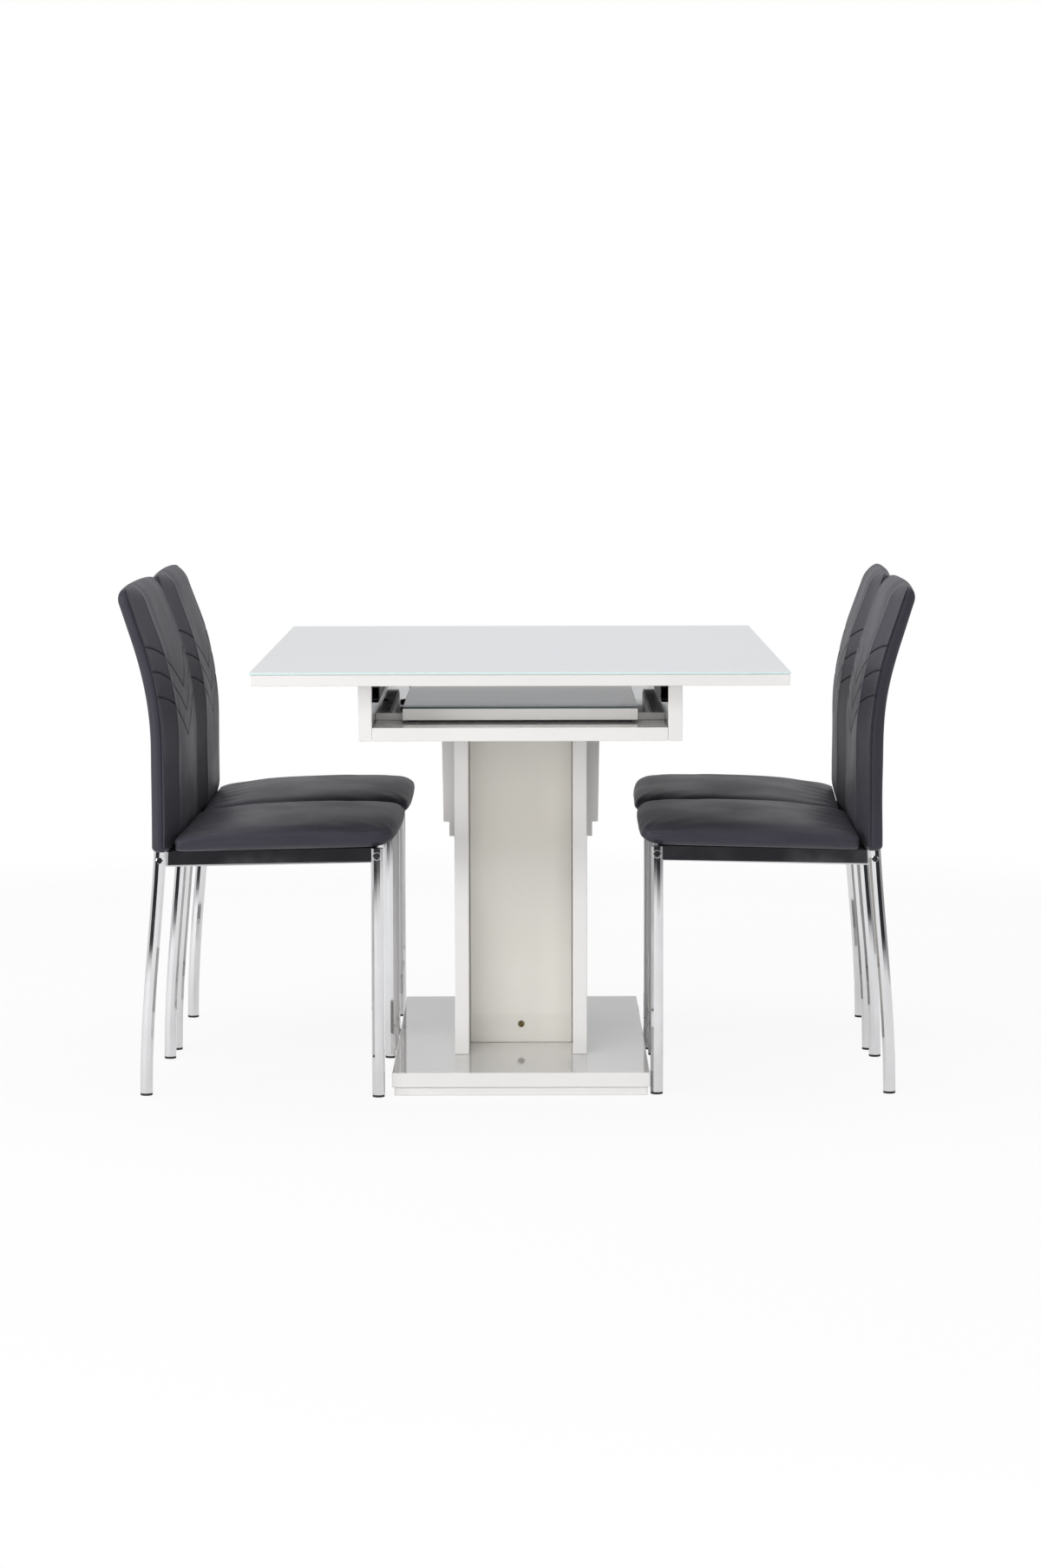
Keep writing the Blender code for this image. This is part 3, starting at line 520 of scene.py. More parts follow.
def meshArrays(item):
    count = len(item.data.vertices)
    place, normal = np.zeros(count * 3), np.zeros(count * 3)
    item.data.vertices.foreach_get("co", place)
    item.data.vertices.foreach_get("normal", normal)
    return place.reshape(-1, 3), normal.reshape(-1, 3)


def tubeMesh(name, path, radius, sides, material):
    # A circle carried along a path: p(s, a) = path(s) + r (side cos a + other sin a).
    tangent = np.gradient(path, axis=0)
    tangent /= np.linalg.norm(tangent, axis=1, keepdims=True)
    side = np.cross(tangent, np.array([0.0, 1.0, 0.0]))
    side /= np.linalg.norm(side, axis=1, keepdims=True)
    other = np.cross(tangent, side)
    turn = np.linspace(0, 2 * math.pi, sides, endpoint=False)
    ring = side[:, None] * np.cos(turn)[None, :, None] + other[:, None] * np.sin(turn)[None, :, None]
    points = (path[:, None] + radius * ring).reshape(-1, 3)
    return meshObject(name, points, closedGridFaces(len(path), sides), material)


# The covers' cloth

clothValues = {
    "frames": 20, "quality": 5, "pressure": 4.0, "mass": 0.3, "stiffness": 40.0, "bending": 2.0,
    "usualPercentile": 90, "capShare": 0.9,
}


def puffed(points, faces, held, cap):
    # How far each point of a closed cover rises when it is filled, where held points stay. The cloth's own
    # move along the outward normal is brought under the cap: 0.9 cap tanh(rise / usual) / tanh(1).
    v = clothValues
    item = meshObject("coverCloth", points, faces, leather)
    normal = meshArrays(item)[1]
    item.vertex_groups.new(name="held").add(np.flatnonzero(held).tolist(), 1.0, "REPLACE")
    cloth = item.modifiers.new("cloth", "CLOTH")
    cloth.settings.quality = v["quality"]
    cloth.settings.mass = v["mass"]
    cloth.settings.tension_stiffness = cloth.settings.compression_stiffness = v["stiffness"]
    cloth.settings.bending_stiffness = v["bending"]
    cloth.settings.vertex_group_mass = "held"
    cloth.settings.use_pressure = True
    cloth.settings.uniform_pressure_force = v["pressure"]
    cloth.settings.effector_weights.gravity = 0.0
    cloth.collision_settings.use_collision = False
    cloth.point_cache.frame_end = v["frames"]
    for number in range(1, v["frames"] + 1):
        bpy.context.scene.frame_set(number)
    filled = meshArrays(item.evaluated_get(bpy.context.evaluated_depsgraph_get()))[0]
    bpy.context.scene.frame_set(1)
    bpy.data.objects.remove(item)
    rise = ((filled - points) * normal).sum(1)
    usual = np.percentile(rise[~held], v["usualPercentile"])
    print("cloth rose", round(usual * 1000, 1), "mm before it is capped at", round(cap * 1000, 1))
    return np.tanh(rise / usual) / math.tanh(1) * cap * v["capShare"]


def spread(values, knots, places):
    # Values at knots carried to other places by Hermite curves: v0 (1 + 2t)(1 - t)^2 + m0 h t (1 - t)^2
    # + v1 t^2 (3 - 2t) - m1 h t^2 (1 - t), with slopes m and a step h between the knots.
    slope = np.gradient(values, knots, axis=0)
    index = np.clip(np.searchsorted(knots, places, side="right") - 1, 0, len(knots) - 2)
    step = (knots[index + 1] - knots[index])[:, None]
    t = (places - knots[index])[:, None] / step
    return (values[index] * (1 + 2 * t) * (1 - t) ** 2 + slope[index] * step * t * (1 - t) ** 2
            + values[index + 1] * t * t * (3 - 2 * t) - slope[index + 1] * step * t * t * (1 - t))


def thinned(places, least, kept):
    # Indices of places that lie a least step apart, with the kept ones and both ends among them.
    closest = 0.6 * least  # a chosen place goes if a kept one lies nearer than this
    chosen = [0]
    for index in range(1, len(places)):
        if index in kept or index == len(places) - 1:
            while chosen[-1] not in (0, *kept) and places[index] - places[chosen[-1]] < closest:
                chosen.pop()
            chosen.append(index)
        elif places[index] - places[chosen[-1]] >= least:
            chosen.append(index)
    return np.array(chosen)


# The legs, where they run up into the backs

legValues = {
    "foot": -0.202, "lean": 0.0335, "leanTop": 0.550, "half": 0.179, "boreRadius": 0.0115, "boreLow": 0.396,
    "boreTop": 0.5612, "boreRings": 9, "boreSides": 24,
}


def legLine(height, v):  # x = foot + lean (3 t^2 - 2 t^3), with t = height / leanTop
    return v["foot"] + v["lean"] * smoothStep(0, v["leanTop"], height)


# The padded backs, in metres and shares. A band is the pair of places between which a change eases in.

backValues = {
    "halfWidth": 0.2095, "bottom": 0.4265, "top": 0.8850, "rear": -0.1855, "bend": (0.600, 0.790),
    "bendRadius": 0.5814, "thickness": 0.0434, "topThinning": 0.16, "topThinBand": (0.75, 0.87),
    "bottomShare": 0.60, "bottomThinBand": (0.424, 0.470), "rearCorner": 0.0165, "wallEnd": 0.0036,
    "ridge": 0.135, "ridgeDrop": 0.0012, "ridgeCrest": 0.0008, "crestSpread": 0.005, "shoulder": 0.0250,
    "shoulderEdge": 0.2065, "shoulderCrease": 0.004, "slant": 1.12, "seam": 0.0205, "seamDepth": 0.0011,
    "seamSpread": 0.0011, "seamDip": 0.0008, "dipSpread": 0.005, "crown": 0.0004, "swell": 0.0005,
    "topRound": 0.023, "topSlope": 0.006, "topFall": 0.006, "slopeFrom": 0.82, "topPull": 0.013,
    "bottomPull": 0.020, "arch": 0.0065, "archFrom": 0.80, "hollow": 0.0010, "hollowInside": 0.028,
    "hollowSpread": 0.016, "bottomRound": 0.008, "tips": (0.697, 0.6550, 0.612), "frontRise": 0.0634,
    "sideRise": 0.0194, "riseBand": (0.45, 0.60), "levelBand": (0.712, 0.860), "channel": 0.0014,
    "channelWidth": 0.0011, "sideChannel": 0.35, "channelShade": 1.5, "seamShade": 0.6, "pillow": 0.0006,
    "pillowSpread": 0.006, "stitchLift": 0.0005, "wearAndHighlightShare": 0.6, "wearAndHighlightInside": 0.002, "faceFrom": 0.003,
    "clothStep": 0.0075, "cap": 0.0022, "heldInset": 0.9, "fullInset": 0.55, "topLoss": 0.5,
    "topLossBand": (0.80, 0.87), "sideLoss": 0.75, "sideLossBand": (-0.010, 0.015), "topSeam": 0.8,
    "topSeamBand": (0.97, 0.998), "coverBand": (-0.0002, 0.0022), "openBand": (0.5, 1.0), "margin": 0.001,
}

# How many columns and rings each stretch has, and where they gather: round the seams, the ridges and the sewn
# lines in metres, and in the closed ends as shares of the way in.
backSteps = {
    "rear": 14, "corner": 8, "wall": 3, "shoulder": 7, "slope": 12, "front": 22, "body": 52,
    "topTurn": 10, "bottomTurn": 7,
    "seam": (-0.0034, -0.0021, -0.0013, -0.0006, 0, 0.0006, 0.0013, 0.0021, 0.0030),
    "ridge": (0.0105, 0.0080, 0.0058, 0.0038, 0.0020, 0.0004, -0.0012, -0.0030, -0.0050, -0.0074),
    "middle": (0.006, 0.003, 0.0012, 0.0),
    "tip": (-0.0055, -0.0036, -0.0024, -0.0016, -0.0010, -0.0005, 0,
            0.0005, 0.0010, 0.0016, 0.0024, 0.0036, 0.0055),
    "tipRoom": 0.0075,
    "topTurned": 0.80, "topEnd": (0.88, 0.93, 0.965, 0.985, 0.997),
    "bottomTurned": 0.5, "bottomEnd": (0.62, 0.75, 0.86, 0.95, 0.99),
}
hair = 1e-6  # places nearer than this are the same


def backLine(height, v):
    # The rear face's line: upright, bent away and straight again, x = rear - b (b + 2 s) / (2 r).
    start, end = v["bend"]
    bend = np.clip(height, start, end) - start
    straight = np.maximum(height - end, 0)
    return v["rear"] - bend * (bend + 2 * straight) / (2 * v["bendRadius"])


def frontDepth(across, v):
    # The front is drop (u / ridge)^2 below flat between its ridges, and beside them it slopes as
    # (1 - t)^slant down to the shoulders. A running mean eases the ridge, and a low crest stands on it.
    samples, meanOf = 1001, 19
    fine = np.linspace(0, 0.25, samples)
    ridge, edge = v["ridge"], v["shoulderEdge"]
    inner = v["thickness"] - v["ridgeDrop"] * (fine / ridge) ** 2
    share = np.clip((fine - ridge) / (edge - ridge), 0, 1)
    outer = v["shoulder"] + (v["thickness"] - v["ridgeDrop"] - v["shoulder"]) * (1 - share) ** v["slant"]
    depth = np.where(fine < ridge, inner, outer)
    eased = np.convolve(np.pad(depth, meanOf // 2, "reflect"), np.ones(meanOf) / meanOf, "valid")
    eased = np.where(fine > edge - v["shoulderCrease"], depth, eased)
    return np.interp(across, fine, eased + v["ridgeCrest"] * bell(fine - ridge, v["crestSpread"]))


def backSection(v, steps):
    # The section's depth and place across: half of it goes from the middle of the flat rear by a quarter
    # circle, the side wall with its seam and a quarter ellipse to the front, and the other half mirrors it.
    half, corner, edge = v["halfWidth"], v["rearCorner"], v["shoulderEdge"]
    wall = v["seam"] + v["wallEnd"]
    cornerTurn = np.linspace(0, math.pi / 2, steps["corner"], endpoint=False)
    shoulderTurn = np.linspace(0, math.pi / 2, steps["shoulder"], endpoint=False)
    seam = v["seam"] + np.array(steps["seam"])
    outerRidge, innerRidge = v["ridge"] + steps["ridge"][0], v["ridge"] - steps["ridge"][0]
    front = np.concatenate([
        np.linspace(edge, outerRidge, steps["slope"], endpoint=False), v["ridge"] + np.array(steps["ridge"]),
        np.linspace(innerRidge, steps["middle"][0], steps["front"]), steps["middle"][1:],
    ])
    depth = np.concatenate([
        np.zeros(steps["rear"]), corner * (1 - np.cos(cornerTurn)),
        np.linspace(corner, seam[0], steps["wall"], endpoint=False), seam,
        wall + (v["shoulder"] - wall) * np.sin(shoulderTurn), frontDepth(front, v),
    ])
    across = np.concatenate([
        np.linspace(0, half - corner, steps["rear"], endpoint=False),
        half - corner + corner * np.sin(cornerTurn), np.full(steps["wall"] + len(seam), half),
        edge + (half - edge) * np.cos(shoulderTurn), front,
    ])
    return np.concatenate([depth, depth[-2:0:-1]]), np.concatenate([-across, across[-2:0:-1]])


def backRings(v, steps):
    # Each ring's height on the level block, how far it is drawn in, and whether it closes the top. The ends
    # turn in as a (1 - cos t) while they rise as r sin t, and then close flat.
    low, high = v["bottom"] + v["bottomRound"], v["top"] - v["topRound"]
    tips = np.array(v["tips"])[:, None]
    plain = np.linspace(low, high, steps["body"])
    plain = plain[np.abs(plain - tips).min(0) > steps["tipRoom"]]
    body = np.sort(np.concatenate([plain, (tips + np.array(steps["tip"])).ravel()]))
    topTurn = np.linspace(0, math.pi / 2, steps["topTurn"])[1:]
    lowTurn = np.linspace(0, math.pi / 2, steps["bottomTurn"])[1:]
    topInset = np.concatenate([steps["topTurned"] * (1 - np.cos(topTurn)), steps["topEnd"]])
    lowInset = np.concatenate([steps["bottomTurned"] * (1 - np.cos(lowTurn)), steps["bottomEnd"]])
    topHeight = np.concatenate([
        high + v["topRound"] * np.sin(topTurn), np.full(len(steps["topEnd"]), v["top"])])
    lowHeight = np.concatenate([
        low - v["bottomRound"] * np.sin(lowTurn), np.full(len(steps["bottomEnd"]), v["bottom"])])
    height = np.concatenate([lowHeight[::-1], body, topHeight])
    inset = np.concatenate([lowInset[::-1], np.zeros(len(body)), topInset])
    isTop = np.arange(len(height)) >= len(height) - len(topInset)
    return height, inset, isTop


def tipRings(height, v):  # the rings that run along the sewn lines
    return sorted({int(np.argmin(np.abs(height - tip))) for tip in v["tips"]})


def chevronRise(across, v):
    # How high a sewn line stands above its tip: a u / ridge to the ridges, then b t (1.8 - 0.8 t) beyond.
    ridge = v["ridge"]
    past = np.clip((across - ridge) / (v["halfWidth"] - ridge), 0, 1)
    return v["frontRise"] * np.minimum(across / ridge, 1) + v["sideRise"] * past * (1.8 - 0.8 * past)


def aheadShare(depth, v):  # 0 behind the side seams, 1 at the front
    return np.clip(np.maximum(depth - v["seam"], 0) / (v["thickness"] - v["seam"]), 0, 1)


def backSkin(v, rings, section):
    # The cover before it is filled, point = (backLine(z) + d, y, z). The rings rise with the sewn lines. The
    # top slopes to the front and rear and falls as (u / half)^3 to the sides. The front thins at both ends.
    height, inset, isTop = rings
    depth, across = section
    behind = np.clip(1 - depth / v["seam"], 0, 1)
    reach = np.abs(across) / v["halfWidth"]
    warp = smoothStep(*v["riseBand"], height) * (1 - smoothStep(*v["levelBand"], height))
    z = height[:, None] + warp[:, None] * chevronRise(np.abs(across), v)
    slope = v["topSlope"] * aheadShare(depth, v) + v["topFall"] * behind ** 2
    z = z - slope * (smoothStep(v["slopeFrom"], v["top"], height) * (1 - inset))[:, None]
    z = z - v["arch"] * reach ** 3 * smoothStep(v["archFrom"], v["top"], height)[:, None]
    share = v["bottomShare"] + (1 - v["bottomShare"]) * smoothStep(*v["bottomThinBand"], z)
    share = share * (1 - v["topThinning"] * smoothStep(*v["topThinBand"], z))
    d = np.minimum(depth, v["seam"]) + np.maximum(depth - v["seam"], 0) * share
    pull = inset[:, None]
    d = d + (v["seam"] - d) * pull
    edge = v["halfWidth"] - np.where(isTop, v["topPull"], v["bottomPull"])[:, None]
    y = across + (np.clip(across, -edge, edge) - across) * pull
    return np.stack([backLine(z, v) + d, y, z], -1)


def backRise(v, skin, rings, section):
    # The cloth is worked out on every few rings and columns, and its rise is carried to the rest. Seams, sewn
    # lines and both ends are held, and the rise is less near the top and outside the ridges.
    height, inset = rings[:2]
    depth, across = section
    ringPlace = np.concatenate([[0], np.cumsum(np.linalg.norm(np.diff(skin, axis=0), axis=-1).max(1))])
    columnPlace = np.concatenate([[0], np.cumsum(np.hypot(np.diff(depth), np.diff(across)))])
    sewnRings = tipRings(height, v)
    seams = np.flatnonzero(np.abs(depth - v["seam"]) < hair)
    middle = np.flatnonzero(across == 0)[-1]
    rows = thinned(ringPlace, v["clothStep"], sewnRings)
    columns = thinned(columnPlace, v["clothStep"], [*seams, middle])
    onCover = depth[columns] >= v["seam"] - hair
    held = np.isin(columns, seams) | (inset[rows] > v["heldInset"])[:, None]
    held = held | (np.isin(rows, sewnRings)[:, None] & onCover)
    points = skin[np.ix_(rows, columns)].reshape(-1, 3)
    rise = puffed(points, closedGridFaces(len(rows), len(columns)), held.ravel(), v["cap"])
    rise = spread(rise.reshape(held.shape), ringPlace[rows], ringPlace)
    around, lap = columnPlace[-1] + columnPlace[1], 3
    place = columnPlace[columns]
    knots = np.concatenate([place[-lap:] - around, place, place[:lap] + around])
    rise = spread(np.concatenate([rise[:, -lap:], rise, rise[:, :lap]], 1).T, knots, columnPlace).T
    ends = 1 - smoothStep(0.0, v["fullInset"], inset)
    top = 1 - v["topLoss"] * smoothStep(*v["topLossBand"], height)
    sides = 1 - v["sideLoss"] * smoothStep(*v["sideLossBand"], np.abs(across) - v["ridge"])
    return rise * (ends * top)[:, None] * sides


def backSewing(v, rings, section):
    # How far the sewn lines sink, a exp(-(t / w)^2) with a wider dip b exp(-|t| / c) beside them, and how
    # much painted shade darkens them.
    height, inset, isTop = [values[:, None] for values in rings]
    depth = section[0]
    low = v["bottom"] + v["bottomRound"]
    fromSeam = depth - v["seam"]
    seam = bell(fromSeam, v["seamSpread"]) * (height > low - v["margin"])
    seam = np.where(isTop, np.maximum(seam, v["topSeam"] * smoothStep(*v["topSeamBand"], inset)), seam)
    cover = smoothStep(*v["coverBand"], fromSeam) * (inset < v["margin"])
    near = np.abs(height - np.array(v["tips"])).min(1)[:, None]
    onFront = v["sideChannel"] + (1 - v["sideChannel"]) * aheadShare(depth, v)
    channel = bell(near, v["channelWidth"]) * cover * onFront
    sink = v["seamDepth"] * seam + v["channel"] * channel
    sink = sink + v["pillow"] * np.exp(-near / v["pillowSpread"]) * cover
    sink = sink + v["seamDip"] * np.exp(-np.abs(fromSeam) / v["dipSpread"]) * (height > low)
    # painted shade along the seams and the sewn channels
    dark = np.maximum(v["seamShade"] * seam, bell(near, v["channelShade"] * v["channelWidth"]) * cover)
    return sink, dark


def backRelief(v, skin, rings, section):
    # A crown c (1 - (u / half)^2), slow waves a sin(37 z + 6 y) sin(21 y + 0.7), and a hollow just inside the
    # ridges. Gives the height, and how far the ridges are polished by wear and lightened by a painted
    # highlight.
    inset = rings[1][:, None]
    depth, across = section
    y, z = skin[..., 1], skin[..., 2]
    fromRidge = np.abs(across) - v["ridge"]
    onFace = depth > v["seam"] + v["faceFrom"]
    openShare = 1 - smoothStep(*v["openBand"], inset)
    crown = v["crown"] * (1 - (np.abs(across) / v["halfWidth"]) ** 2) * (depth > v["margin"])
    waves = v["swell"] * np.sin(z * 37 + y * 6) * np.sin(y * 21 + 0.7)
    hollow = v["hollow"] * bell(fromRidge + v["hollowInside"], v["hollowSpread"]) * onFace
    # wear polish and a painted highlight along the ridges
    wearAndHighlight = v["wearAndHighlightShare"] * bell(fromRidge + v["wearAndHighlightInside"], v["crestSpread"]) * onFace
    return (crown + waves - hollow) * openShare, wearAndHighlight * openShare


def backGrid(v, steps):
    # The skin, filled and sewn, with its shares of painted shade on the sewn lines and of wear and painted
    # highlight on the ridges, and the three lines that the stitches follow.
    rings, section = backRings(v, steps), backSection(v, steps)
    skin = backSkin(v, rings, section)
    filled = skin + gridNormals(skin) * backRise(v, skin, rings, section)[..., None]
    normal = gridNormals(filled)
    sink, dark = backSewing(v, rings, section)
    relief, wearAndHighlight = backRelief(v, skin, rings, section)
    grid = filled + normal * (relief - sink)[..., None]
    lifted = grid + v["stitchLift"] * normal
    onCover = section[0] >= v["seam"] - hair
    return grid, dark, wearAndHighlight, [lifted[row, onCover] for row in tipRings(rings[0], v)]


def paint(item, name, values):
    layer = item.data.attributes.new(name, "FLOAT", "POINT")
    layer.data.foreach_set("value", np.ascontiguousarray(values, dtype=np.float32).ravel())


def boreBack(item, v):  # cuts the legs' bores from below
    heights = np.linspace(v["boreLow"], v["boreTop"], v["boreRings"])
    cutters = []
    for side in (-1, 1):
        path = np.stack([legLine(heights, v), np.full(len(heights), side * v["half"]), heights], -1)
        cutters.append(tubeMesh(f"boreCutter{side + 1}", path, v["boreRadius"], v["boreSides"], leather))
    for cutter in cutters:
        cut = item.modifiers.new("bore", "BOOLEAN")
        cut.operation = "DIFFERENCE"
        cut.solver = "EXACT"
        cut.object = cutter
    applyModifiers(item)
    for cutter in cutters:
        bpy.data.objects.remove(cutter)


backSurface, sewnShadeShare, wearAndHighlightShare, chevronLines = backGrid(backValues, backSteps)
rowCount, columnCount = backSurface.shape[:2]
backForm = meshObject("backForm", backSurface.reshape(-1, 3), closedGridFaces(rowCount, columnCount), leather)
# painted shade on the sewn lines
paint(backForm, "sewnShade", sewnShadeShare)
# wear and a painted highlight on the ridges
paint(backForm, "wearAndHighlight", wearAndHighlightShare)
boreBack(backForm, legValues)
print("back form", len(backForm.data.polygons))


# The padded seats

seatValues = {
    "halfWidth": 0.2095, "rear": -0.1490, "front": 0.2410, "frontTuck": 0.021, "thickness": 0.0495,
    "rearThickness": 0.0255, "rearTuck": 0.0165, "middleTuck": 0.35, "edgeDrop": 0.010, "noseDrop": 0.6,
    "edgeInset": 0.014, "lowInset": 0.9, "topInset": 0.8, "cornerRound": 0.06, "wedgeStart": 0.02,
    "wedgeLength": 0.24, "endSpare": 0.004, "sideSpare": 0.003, "railTop": 0.4286, "railSlope": 0.0243,
    "skinGap": 0.0003, "heldHeight": 0.004, "cap": 0.0030, "wave": 0.0005, "smallWave": 0.0002,
    "waveBand": (0.012, 0.035), "pull": 0.0012, "pullPlace": -0.11, "pullSpread": 0.03, "fold": 0.0016,
    "foldHeight": 0.0200, "foldWaver": 0.0012, "foldSpread": 0.0050, "foldStart": (-0.13, -0.06),
    "upright": (0.85, 0.45), "roll": 0.0012, "rollHeight": 0.011, "rollSpread": 0.005, "slit": 0.0010,
    "slitReach": 0.05, "cageLevels": 3, "fineLevels": 2,
    "rearEdge": ((0.0, 0.004, 0.010, 0.016, 0.023), (-0.1450, -0.1487, -0.1475, -0.1425, -0.1330)),
}
seatStations = ((-1, -0.82, -0.4, 0.2, 0.75, 1), (-1, -0.8, 0, 0.8, 1), (-1, 0, 1))  # along, across and up


def railTop(x, v):  # z = top + slope x
    return v["railTop"] + v["railSlope"] * x


def byLevel(c, low, middle, high):  # the cage's three levels are c = -1, 0 and 1
    return np.where(c < -0.5, low, np.where(c < 0.5, middle, high))


def seatCage(p, v):
    # The cage that is subdivided into the seat: a box drawn in at its top and bottom edges and rounded at its
    # front corners by 1 - k (a b)^6. Its height w (2 - w) grows from the rear, and falls off as
    # drop (b^2 + 0.6 a^3) to the sides and the front. The spare sizes make up for what subdividing takes off.
    a, b, c = p[:, 0], p[:, 1], p[:, 2]
    share = (a + 1) / 2
    rear = v["rear"] - v["endSpare"] + v["rearTuck"] * byLevel(c, 0.0, v["middleTuck"], 1.0)
    front = v["front"] + v["endSpare"] - byLevel(c, v["frontTuck"], 0.0, v["edgeInset"])
    side = v["halfWidth"] + v["sideSpare"] - v["edgeInset"] * byLevel(c, v["lowInset"], 0.0, v["topInset"])
    corner = np.where(a > 0, 1 - v["cornerRound"] * (a * b) ** 6, 1.0)
    middle = (v["rear"] + v["front"]) / 2
    x = middle + (rear + (front - rear) * share - middle) * corner
    full = v["thickness"] - v["edgeDrop"] * (b * b + v["noseDrop"] * np.maximum(a, 0) ** 3)
    wedge = np.clip((share - v["wedgeStart"]) / v["wedgeLength"], 0, 1)
    height = v["rearThickness"] + (full - v["rearThickness"]) * wedge * (2 - wedge)
    return np.stack([x, b * side * corner, railTop(x, v) + v["skinGap"] + (c + 1) / 2 * height], -1)


def onRail(place, v):  # nothing of the seat lies lower than its gap above the rails
    place[:, 2] = np.maximum(place[:, 2], railTop(place[:, 0], v) + v["skinGap"])


def seatFolds(place, normal, v):
    # Along the top, slow waves such as a sin(24 x + 0.8) cos(15 y) and pulls at the rear corners. Round the
    # sides, a fold at mid-height, -a exp(-((h - h0) / w)^2), with a roll below it.
    x, y, z = place.T
    up = z - railTop(x, v)
    waves = v["wave"] * np.sin(x * 24 + 0.8) * np.cos(y * 15) + v["smallWave"] * np.sin(y * 33 + x * 20)
    pull = v["pull"] * bell(x - v["pullPlace"], v["pullSpread"]) * np.cos(y * 95)
    sides = smoothStep(*v["upright"], np.abs(normal[:, 2])) * smoothStep(*v["foldStart"], x)
    level = v["foldHeight"] + v["foldWaver"] * np.sin(x * 24 + y * 19)
    fold = v["fold"] * bell(up - level, v["foldSpread"])
    roll = v["roll"] * bell(up - v["rollHeight"], v["rollSpread"])
    return (waves + pull) * smoothStep(*v["waveBand"], up) + sides * (roll - fold)


def backFront(z):
    # The back's front face low down: the foremost of a few columns between its ridges. The rings that close
    # its bottom are left out.
    firstRing, columns = 12, columnCount // 2 + np.array([0, 6, 12, 18])
    low = backSurface[firstRing:]
    return np.max([np.interp(z, low[:, c, 2], low[:, c, 0]) for c in columns], axis=0)


def besideBack(place, v):  # the seat's rear edge follows the back's front, a slit away from it
    rest = backFront(place[:, 2]) + v["slit"]
    ownRear = np.interp(place[:, 2] - railTop(place[:, 0], v), *v["rearEdge"])
    nearRear = 1 - smoothStep(0.0, v["slitReach"], place[:, 0] - ownRear)
    place[:, 0] = np.maximum(place[:, 0] + (rest - ownRear) * nearRear, rest)


def buildSeat(v):
    points, faces = boxGrid([np.array(places, float) for places in seatStations])
    item = meshObject("seatForm", seatCage(points, v), faces.tolist(), leather)
    subdivide(item, v["cageLevels"])
    place, normal = meshArrays(item)
    faces = [tuple(face.vertices) for face in item.data.polygons]
    low = place[:, 2] - railTop(place[:, 0], v) < v["heldHeight"]
    place = place + normal * puffed(place, faces, low, v["cap"])[:, None]
    onRail(place, v)
    item.data.vertices.foreach_set("co", place.ravel())
    subdivide(item, v["fineLevels"])
    place, normal = meshArrays(item)
    place = place + normal * seatFolds(place, normal, v)[:, None]
    onRail(place, v)
    besideBack(place, v)
    item.data.vertices.foreach_set("co", place.ravel())
    item.data.polygons.foreach_set("use_smooth", np.full(len(item.data.polygons), True))
    item.data.update()
    return item


seatForm = buildSeat(seatValues)
print("seat form", len(seatForm.data.polygons))


# The stitches in the sewn chevrons

stitchValues = {
    "pitch": 0.0046, "length": 0.0034, "radius": 0.00042, "sides": 6, "leastShare": 0.05,
    "stations": (-1.0, -0.94, -0.7, 0.0, 0.7, 0.94, 1.0), "aside": (0.31, 0.22, 0.92),
}


def resample(line, pitch):
    # Points a pitch apart along a line, by its length, and the line's direction at each.
    length = np.concatenate([[0], np.cumsum(np.linalg.norm(np.diff(line, axis=0), axis=1))])
    count = int(length[-1] / pitch)
    at = (np.arange(count) + 0.5) * length[-1] / count

    def pointAt(where):
        return np.stack([np.interp(where, length, line[:, k]) for k in range(3)], -1)

    reach = 0.001
    tangent = pointAt(np.minimum(at + reach, length[-1])) - pointAt(np.maximum(at - reach, 0))
    return pointAt(at), tangent / np.linalg.norm(tangent, axis=1, keepdims=True)


def stitchMesh(name, lines, v):
    # Each stitch is a short rounded rod along its line, with the radius r sqrt(1 - t^4) at t from -1 to 1.
    share = np.array(v["stations"])
    wide = np.maximum(np.sqrt(1 - share ** 4), v["leastShare"]) * v["radius"]
    turn = np.linspace(0, 2 * math.pi, v["sides"], endpoint=False)
    points, faces, start = [], [], 0
    for line in lines:
        place, tangent = resample(line, v["pitch"])
        side = np.cross(tangent, np.array(v["aside"]))
        side /= np.linalg.norm(side, axis=1, keepdims=True)
        other = np.cross(tangent, side)
        ring = side[:, None, None] * np.cos(turn)[:, None] + other[:, None, None] * np.sin(turn)[:, None]
        along = tangent[:, None, None] * (share * v["length"] / 2)[None, :, None, None]
        block = place[:, None, None] + along + ring * wide[None, :, None, None]
        points.append(block.reshape(-1, 3))
        for _ in range(len(place)):
            faces += closedGridFaces(len(share), v["sides"], start)
            start += len(share) * v["sides"]
    return meshObject(name, np.concatenate(points), faces, thread)


stitchForm = stitchMesh("stitchForm", chevronLines, stitchValues)
print("stitches", len(stitchForm.data.polygons))


# Rings and sockets of the front bolts, and the screw caps of the left guide strip

boltValues = {  # a profile's rows are a radius and a distance out from half
    "axis": 0.202, "half": 0.190, "height": 0.41976, "sides": 26,
    "ring": ((0.0042, 0.0104), (0.0042, 0.0118), (0.0047, 0.0123), (0.0062, 0.0123), (0.0072, 0.0113),
             (0.0073, 0.0082), (0.0050, 0.0082), (0.0042, 0.0104)),
    "socket": ((0.0001, 0.0106), (0.0001, 0.0114), (0.0030, 0.0114), (0.0030, 0.0117), (0.0042, 0.0117),
               (0.0042, 0.0106), (0.0001, 0.0106)),
}
capValues = {
    "places": ((-0.2400, -0.138, 0.6653), (-0.2400, 0.262, 0.6653)), "sides": 26,
    "profile": ((0.0001, 0.0), (0.0046, 0.0), (0.0046, 0.0011), (0.0038, 0.0021), (0.0018, 0.0027),
                (0.0001, 0.0028)),
}
sharpAngle = 0.7  # radians, past which a turned edge is sharp


